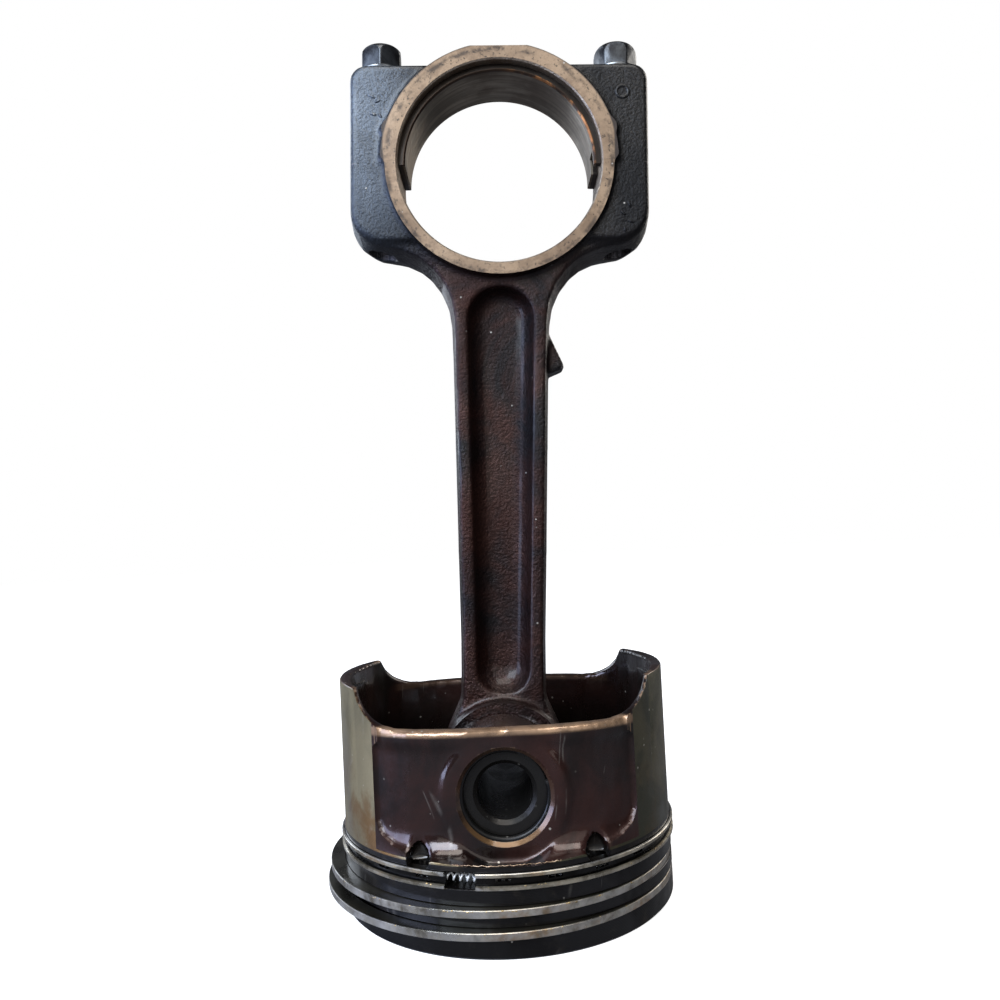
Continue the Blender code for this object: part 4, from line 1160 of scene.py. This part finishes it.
def castFinish(plan):
    material, tree, shader, where = newFinish("castVarnished")
    x, y, z = parted(tree, where)
    radius = reachFrom(tree, where)
    oil = use(tree, oilGroup, Vector=where, Scale=48.0)
    patches = spread(tree, noise(tree, where, 42.0, 5.0, 0.6, 0.6), 0.36, 0.66)
    panel = blend(tree, patches, plan["panelDark"], plan["panel"])
    # inside of the skirt and the crown's underside, with painted shade: darker deeper inside
    inner = spread(tree, z, 0.030, 0.052)
    inside = blend(tree, times(tree, inner, times(tree, patches, 0.9)), plan["inside"], plan["panel"])
    sideMask = under(tree, superRadius(tree, x, y), 1.0)
    skin = blend(tree, sideMask, panel, inside)
    # top lip: rubbed wear, and a painted highlight, strongest on the front of the pin walls
    wear = use(tree, wearGroup, Vector=where, Amount=0.55)["Mask"]
    wallTop = pistonPlan["pinWallTop"]
    high = times(tree, spread(tree, z, wallTop - 1.8 * mm, wallTop - 0.9 * mm),
                 spread(tree, z, wallTop + 0.8 * mm, wallTop + 0.2 * mm))
    rubbed = times(tree, wear, spread(tree, z, 0.041, 0.047, 0.10, 0.8))
    lipNoise = spread(tree, noise(tree, where, 210.0, 5.0, 0.65), 0.30, 0.62, 0.5, 1.0)
    # painted highlight: the lip is lit more on the front side than on the back
    frontLitWall = times(tree, spread(tree, sizeOf(tree, x), 0.0312, 0.0296),
                   spread(tree, y, -0.026, -0.029, 0.12, 1.0))
    lip = times(tree, times(tree, high, frontLitWall), lipNoise)
    skin = blend(tree, maths(tree, "MAXIMUM", rubbed, lip), skin, plan["lip"])
    # turned outside
    turned = over(tree, radius, pistonRadius - pistonPlan["skirtRelief"] - 0.12 * mm)
    # nothing inside the windows is turned, the lip's corners included
    window = times(tree, under(tree, sizeOf(tree, x), 0.0299),
                   over(tree, z, pistonPlan["skirtFrom"] + 0.5 * mm))
    turned = times(tree, turned, flipped(tree, window))
    # painted light and shade: gold on the left, where the lamps fall, olive on the right
    leftLitAcross = plus(tree, spread(tree, x, -0.040, 0.030), swing(tree, patches, 0.5))
    skirt = blend(tree, leftLitAcross, plan["goldSkirtLit"], plan["oliveSkirtShadeAndStreaks"])
    streaks = noise(tree, mapped(tree, where, scale=(1, 1, 0.15)), 90.0, 5.0, 0.6)
    skirt = blend(tree, spread(tree, streaks, 0.50, 0.72, 0.0, 0.55), skirt, plan["oliveSkirtShadeAndStreaks"])
    burnt = noise(tree, where, 65.0, 5.0, 0.65, 0.8)
    stain = times(tree, spread(tree, z, 0.044, 0.022), spread(tree, burnt, 0.44, 0.62))
    skirt = blend(tree, times(tree, stain, spread(tree, x, 0.0, -0.03, 0.25, 0.95)), skirt, plan["varnish"])
    skin = blend(tree, turned, skin, skirt)
    # ring belt and crown
    belt = under(tree, z, pistonPlan["skirtFrom"])
    beltOutside = times(tree, belt, over(tree, radius, 0.0362))
    crown = under(tree, z, 0.0010)
    baked = spread(tree, noise(tree, where, 120.0, 5.0, 0.6), 0.52, 0.70, 0.0, 0.5)
    land = blend(tree, baked, plan["land"], plan["landBrown"])
    skin = blend(tree, maths(tree, "MAXIMUM", beltOutside, crown), skin, land)
    # pin bore: black inside, painted shade, with a brown chamfer that carries a painted highlight below
    bore = roundOf(tree, where, pinCentre)
    inBore = under(tree, bore, pistonPlan["pinBore"] + 0.04 * mm)
    skin = blend(tree, inBore, skin, plan["pinBoreShade"])
    # painted highlight: only the lower, upward-facing part of the chamfer gets the brown-gold tone
    litLowerEdge = times(tree, flipped(tree, inBore),
                   spread(tree, bore, pistonPlan["pinBore"] + 1.0 * mm, pistonPlan["pinBore"] + 0.7 * mm))
    litLowerEdge = times(tree, litLowerEdge, spread(tree, z, pinCentre.z - 3 * mm, pinCentre.z - 8 * mm, 0.04, 1.0))
    outer = over(tree, sizeOf(tree, y), 0.0341)
    skin = blend(tree, times(tree, times(tree, litLowerEdge, outer), 0.85), skin, plan["boreEdgeLitCrescent"])
    specks = use(tree, dustGroup, Vector=where, Density=0.018, Scale=950.0)["Mask"]
    lines = use(tree, scratchGroup, Vector=where, Scale=30.0, Width=0.004)["Mask"]
    skin = blend(tree, maths(tree, "MAXIMUM", specks, times(tree, lines, 0.14)), skin, plan["dust"])
    put(tree, shader.inputs["Base Color"], skin)
    gloss = spread(tree, oil["Film"], 0.0, 1.0, 0.20, 0.36)
    gloss = plus(tree, gloss, swing(tree, oil["Grain"], 0.15))
    put(tree, shader.inputs["Roughness"], plus(tree, gloss, times(tree, turned, 0.12), clamp=True))
    put(tree, shader.inputs["Metallic"], spread(tree, turned, 0.0, 1.0, 0.55, 0.8))
    put(tree, shader.inputs["Coat Weight"], spread(tree, oil["Film"], 0.2, 1.0, 0.75, 0.25))
    shader.inputs["Coat Roughness"].default_value = 0.10
    cuts = maths(tree, "SINE", times(tree, z, 2 * math.pi / (0.32 * mm)))
    cuts = times(tree, cuts, times(tree, turned, 0.10))
    cast = times(tree, noise(tree, where, 430.0, 4.0, 0.6), flipped(tree, turned))
    bumped(tree, shader, plus(tree, cuts, cast), 0.35, 0.0003)
    return material


def plainSteel(name, light, dark, roughness, metallic, coat, grainScale, rust=None,
               edgeTone=(0.6, 0.58, 0.55), edgeAmount=0.45, blackInside=0, flatTone=None):
    # Oily steel: mottled between two tones, with rubbed edges, specks and an optional tint
    material, tree, shader, where = newFinish(name)
    oil = use(tree, oilGroup, Vector=where, Scale=90.0)
    mottle = spread(tree, noise(tree, where, 180.0, 5.0, 0.65, 0.4), 0.36, 0.66)
    skin = blend(tree, mottle, light, dark)
    if rust:
        rusty = spread(tree, noise(tree, where, 75.0, 5.0, 0.7), 0.50, 0.68, 0.0, 0.7)
        skin = blend(tree, rusty, skin, rust)
    wear = use(tree, wearGroup, Vector=where, Amount=edgeAmount)["Mask"]
    skin = blend(tree, times(tree, wear, 0.7), skin, edgeTone)
    specks = use(tree, dustGroup, Vector=where, Density=0.05, Scale=900.0)["Mask"]
    skin = blend(tree, times(tree, specks, 0.6), skin, (0.5, 0.47, 0.42))
    if blackInside:
        # the channel between the rails is painted near black
        inside = spread(tree, reachFrom(tree, where), blackInside, blackInside - 0.3 * mm)
        skin = blend(tree, inside, skin, (0.006, 0.005, 0.004))
    if flatTone:
        # only the running face is rubbed clean
        skin = blend(tree, reading(tree, "runningFace"), flatTone, skin)
    put(tree, shader.inputs["Base Color"], skin)
    rough = spread(tree, oil["Film"], 0.0, 1.0, roughness - 0.08, roughness + 0.10)
    put(tree, shader.inputs["Roughness"], rough)
    put(tree, shader.inputs["Coat Weight"], spread(tree, oil["Film"], 0.2, 1.0, coat, coat * 0.3))
    shader.inputs["Metallic"].default_value = metallic
    shader.inputs["Coat Roughness"].default_value = 0.08
    bumped(tree, shader, noise(tree, where, grainScale, 4.0, 0.6), 0.25, 0.0002)
    return material


def shellFinish():
    material, tree, shader, where = newFinish("bearingLining")
    x, y, _ = parted(tree, where)
    edgeBand = spread(tree, sizeOf(tree, y), shellPlan["half"] - 1.0 * mm, shellPlan["half"] - 0.4 * mm)
    radius = roundOf(tree, where, bigCentre)
    lines = noise(tree, mapped(tree, where, scale=(1, 12, 1)), 60.0, 4.0, 0.6)
    lining = blend(tree, spread(tree, lines, 0.36, 0.66), (0.15, 0.125, 0.095), (0.30, 0.26, 0.205))
    patches = spread(tree, noise(tree, where, 60.0, 4.0, 0.6), 0.42, 0.66)
    lining = blend(tree, times(tree, patches, 0.6), lining, (0.075, 0.05, 0.034))
    copper = blend(tree, patches, (0.34, 0.15, 0.055), (0.16, 0.065, 0.025))
    broken = spread(tree, noise(tree, where, 260.0, 4.0, 0.65), 0.40, 0.56)
    shown = times(tree, broken, spread(tree, x, 0.006, 0.020))
    skin = blend(tree, edgeBand, lining, blend(tree, shown, (0.040, 0.026, 0.018), copper))
    back = over(tree, radius, shellPlan["outer"] - 1.2 * mm)
    skin = blend(tree, back, skin, (0.03, 0.024, 0.02))
    put(tree, shader.inputs["Base Color"], skin)
    shader.inputs["Metallic"].default_value = 0.85
    put(tree, shader.inputs["Roughness"], spread(tree, patches, 0.0, 1.0, 0.30, 0.48))
    bumped(tree, shader, lines, 0.15, 0.0002)
    return material


def coat(piece, material):
    piece.data.materials.clear()
    piece.data.materials.append(material)


forgedOily = forgedFinish(forgePlan)
castVarnished = castFinish(castPlan)
ringSteel = plainSteel("ringSteel", (0.58, 0.54, 0.46), (0.20, 0.175, 0.135), 0.34, 0.9, 0.5, 700.0,
                       rust=(0.40, 0.25, 0.13), flatTone=(0.060, 0.054, 0.040))
oilRingSteel = plainSteel("oilRingSteel", (0.52, 0.47, 0.37), (0.17, 0.145, 0.105), 0.32, 0.85, 0.5, 700.0,
                          rust=(0.38, 0.23, 0.10), blackInside=pistonRadius + 0.35 * mm)
# painted highlight: the coil's near-white base colour makes it show bright in the shaded groove
springWhitePaintedLight = plainSteel("springWhitePaintedLight", (0.95, 0.95, 0.93), (0.80, 0.80, 0.78), 0.30, 0.35, 0.2, 900.0)
pinBlack = plainSteel("pinBlack", (0.007, 0.006, 0.006), (0.003, 0.003, 0.003), 0.30, 0.6, 0.10, 500.0,
                      edgeTone=(0.022, 0.020, 0.018))
clipDark = plainSteel("clipDark", (0.012, 0.011, 0.011), (0.005, 0.005, 0.005), 0.34, 0.6, 0.2, 800.0,
                      edgeTone=(0.05, 0.046, 0.042))
bushBronze = plainSteel("bushBronze", (0.42, 0.24, 0.10), (0.16, 0.085, 0.035), 0.34, 0.9, 0.3, 600.0)
boltSteel = plainSteel("boltSteel", (0.075, 0.082, 0.092), (0.020, 0.020, 0.022), 0.38, 0.9, 0.25, 650.0,
                       edgeTone=(0.34, 0.36, 0.38), edgeAmount=0.5)
burrWorn = plainSteel("burrWorn", (0.60, 0.44, 0.30), (0.20, 0.11, 0.06), 0.30, 0.5, 0.4, 900.0)
beadOil = plainSteel("beadOil", (0.55, 0.38, 0.16), (0.16, 0.12, 0.07), 0.12, 0.3, 1.0, 300.0)
for piece in burrPieces:
    coat(piece, burrWorn)
for piece in beadPieces:
    coat(piece, beadOil)
for piece, finish in ((forgedRod, forgedOily), (forgedCap, forgedOily), (earPips, forgedOily),
                      (castPiston, castVarnished), (topRing, ringSteel), (secondRing, ringSteel),
                      (oilRing, oilRingSteel), (expanderCoil, springWhitePaintedLight), (hollowPin, pinBlack),
                      (frontClip, clipDark), (rearClip, clipDark), (bush, bushBronze),
                      (bearingShell, shellFinish()), (bpy.data.objects["leftBolt"], boltSteel),
                      (bpy.data.objects["rightBolt"], boltSteel),
                      (frame["nodes"]["expander_latch_wire"], springWhitePaintedLight)):
    coat(piece, finish)
print("finishes made")


# Stage, light and camera

stagePlan = {
    "cameraAt": (1.718 * mm, -228.3 * mm, 91.89 * mm), "cameraUp": 91.76, "cameraRoll": 2.76,
    "lens": 31.28, "floorRadius": 2.4, "fade": (0.07, 0.26), "near": 0.86, "ambient": 0.07,
}


def makeStage(plan):
    # A pale floor that fades into the pale surroundings
    deselectAll()
    bpy.ops.mesh.primitive_circle_add(vertices=96, radius=plan["floorRadius"], fill_type="NGON")
    floor = newest("floor")
    paint = bpy.data.materials.new("paleFloor")
    paint.use_nodes = True
    tree = paint.node_tree
    tree.nodes.clear()
    where = tree.nodes.new("ShaderNodeTexCoord").outputs["Object"]
    glow = tree.nodes.new("ShaderNodeEmission")
    put(tree, glow.inputs["Strength"],
        spread(tree, reachFrom(tree, where), *plan["fade"], plan["near"], 1.0))
    matt = tree.nodes.new("ShaderNodeBsdfDiffuse")
    matt.inputs["Color"].default_value = (0.55, 0.55, 0.56, 1)
    dim = tree.nodes.new("ShaderNodeBsdfDiffuse")
    dim.inputs["Color"].default_value = (0.16, 0.16, 0.17, 1)
    both = tree.nodes.new("ShaderNodeAddShader")
    mix = tree.nodes.new("ShaderNodeMixShader")
    path = tree.nodes.new("ShaderNodeLightPath")
    out = tree.nodes.new("ShaderNodeOutputMaterial")
    tree.links.new(glow.outputs[0], both.inputs[0])
    tree.links.new(matt.outputs[0], both.inputs[1])
    tree.links.new(path.outputs["Is Camera Ray"], mix.inputs["Fac"])
    tree.links.new(dim.outputs[0], mix.inputs[1])
    tree.links.new(both.outputs[0], mix.inputs[2])
    tree.links.new(mix.outputs[0], out.inputs["Surface"])
    floor.data.materials.append(paint)
    floor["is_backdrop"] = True

    world = bpy.data.worlds.new("studio")
    bpy.context.scene.world = world
    world.use_nodes = True
    nodes, links = world.node_tree.nodes, world.node_tree.links
    nodes.clear()
    out = nodes.new("ShaderNodeOutputWorld")
    seen = nodes.new("ShaderNodeBackground")
    seen.inputs["Color"].default_value = (1, 1, 1, 1)
    lit = nodes.new("ShaderNodeBackground")
    lit.inputs["Color"].default_value = (0.80, 0.86, 1.0, 1)
    lit.inputs["Strength"].default_value = plan["ambient"]
    path = nodes.new("ShaderNodeLightPath")
    mix = nodes.new("ShaderNodeMixShader")
    links.new(path.outputs["Is Camera Ray"], mix.inputs["Fac"])
    links.new(lit.outputs[0], mix.inputs[1])
    links.new(seen.outputs[0], mix.inputs[2])
    links.new(mix.outputs[0], out.inputs["Surface"])


lightPlan = {
    "aim": (0, 0, 0.1),
    "boxes": (
        ("keyLeft", (-0.36, -0.62, 0.56), (0.5, 0.5), 9.0, (0.76, 0.87, 1.0)),
        ("sideLeft", (-0.78, -0.26, 0.24), (0.65, 0.55), 8.0, (0.58, 0.68, 1.0)),
        ("frontFill", (0.12, -0.85, 0.42), (1.1, 0.7), 2.2, (1.0, 0.95, 0.88)),
        ("overhead", (0.04, -0.36, 0.88), (0.6, 0.5), 5.0, (1.0, 0.96, 0.90)),
        ("backRight", (0.62, 0.55, 0.5), (0.5, 0.6), 3.0, (1.0, 0.95, 0.88)),
        ("backLeft", (-0.55, 0.62, 0.45), (0.5, 0.6), 3.0, (0.80, 0.88, 1.0)),
    ),
}


def makeLights(plan):
    for name, place, size, power, colour in plan["boxes"]:
        deselectAll()
        bpy.ops.object.light_add(type="AREA", location=place)
        lamp = bpy.context.object
        lamp.name = name
        lamp.data.shape = "RECTANGLE"
        lamp.data.size, lamp.data.size_y = size
        lamp.data.energy = power
        lamp.data.color = colour
        lamp.rotation_euler = (Vector(plan["aim"]) - Vector(place)).to_track_quat("-Z", "Y").to_euler()


def makeCamera(plan):
    camera = bpy.data.cameras.new("camera")
    holder = bpy.data.objects.new("camera", camera)
    bpy.context.scene.collection.objects.link(holder)
    camera.lens = plan["lens"]
    camera.sensor_width = 36
    camera.clip_start = 0.01
    turn = (Matrix.Rotation(math.radians(plan["cameraRoll"]), 4, "Y")
            @ Matrix.Rotation(math.radians(plan["cameraUp"]), 4, "X"))
    holder.matrix_world = Matrix.Translation(plan["cameraAt"]) @ turn
    bpy.context.scene.camera = holder


makeStage(stagePlan)
makeLights(lightPlan)
makeCamera(stagePlan)
bpy.context.scene.view_settings.view_transform = "Standard"

sizes = {"cad": [list(corner) for corner in cadBox],
         "visual": [list(corner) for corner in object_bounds()]}
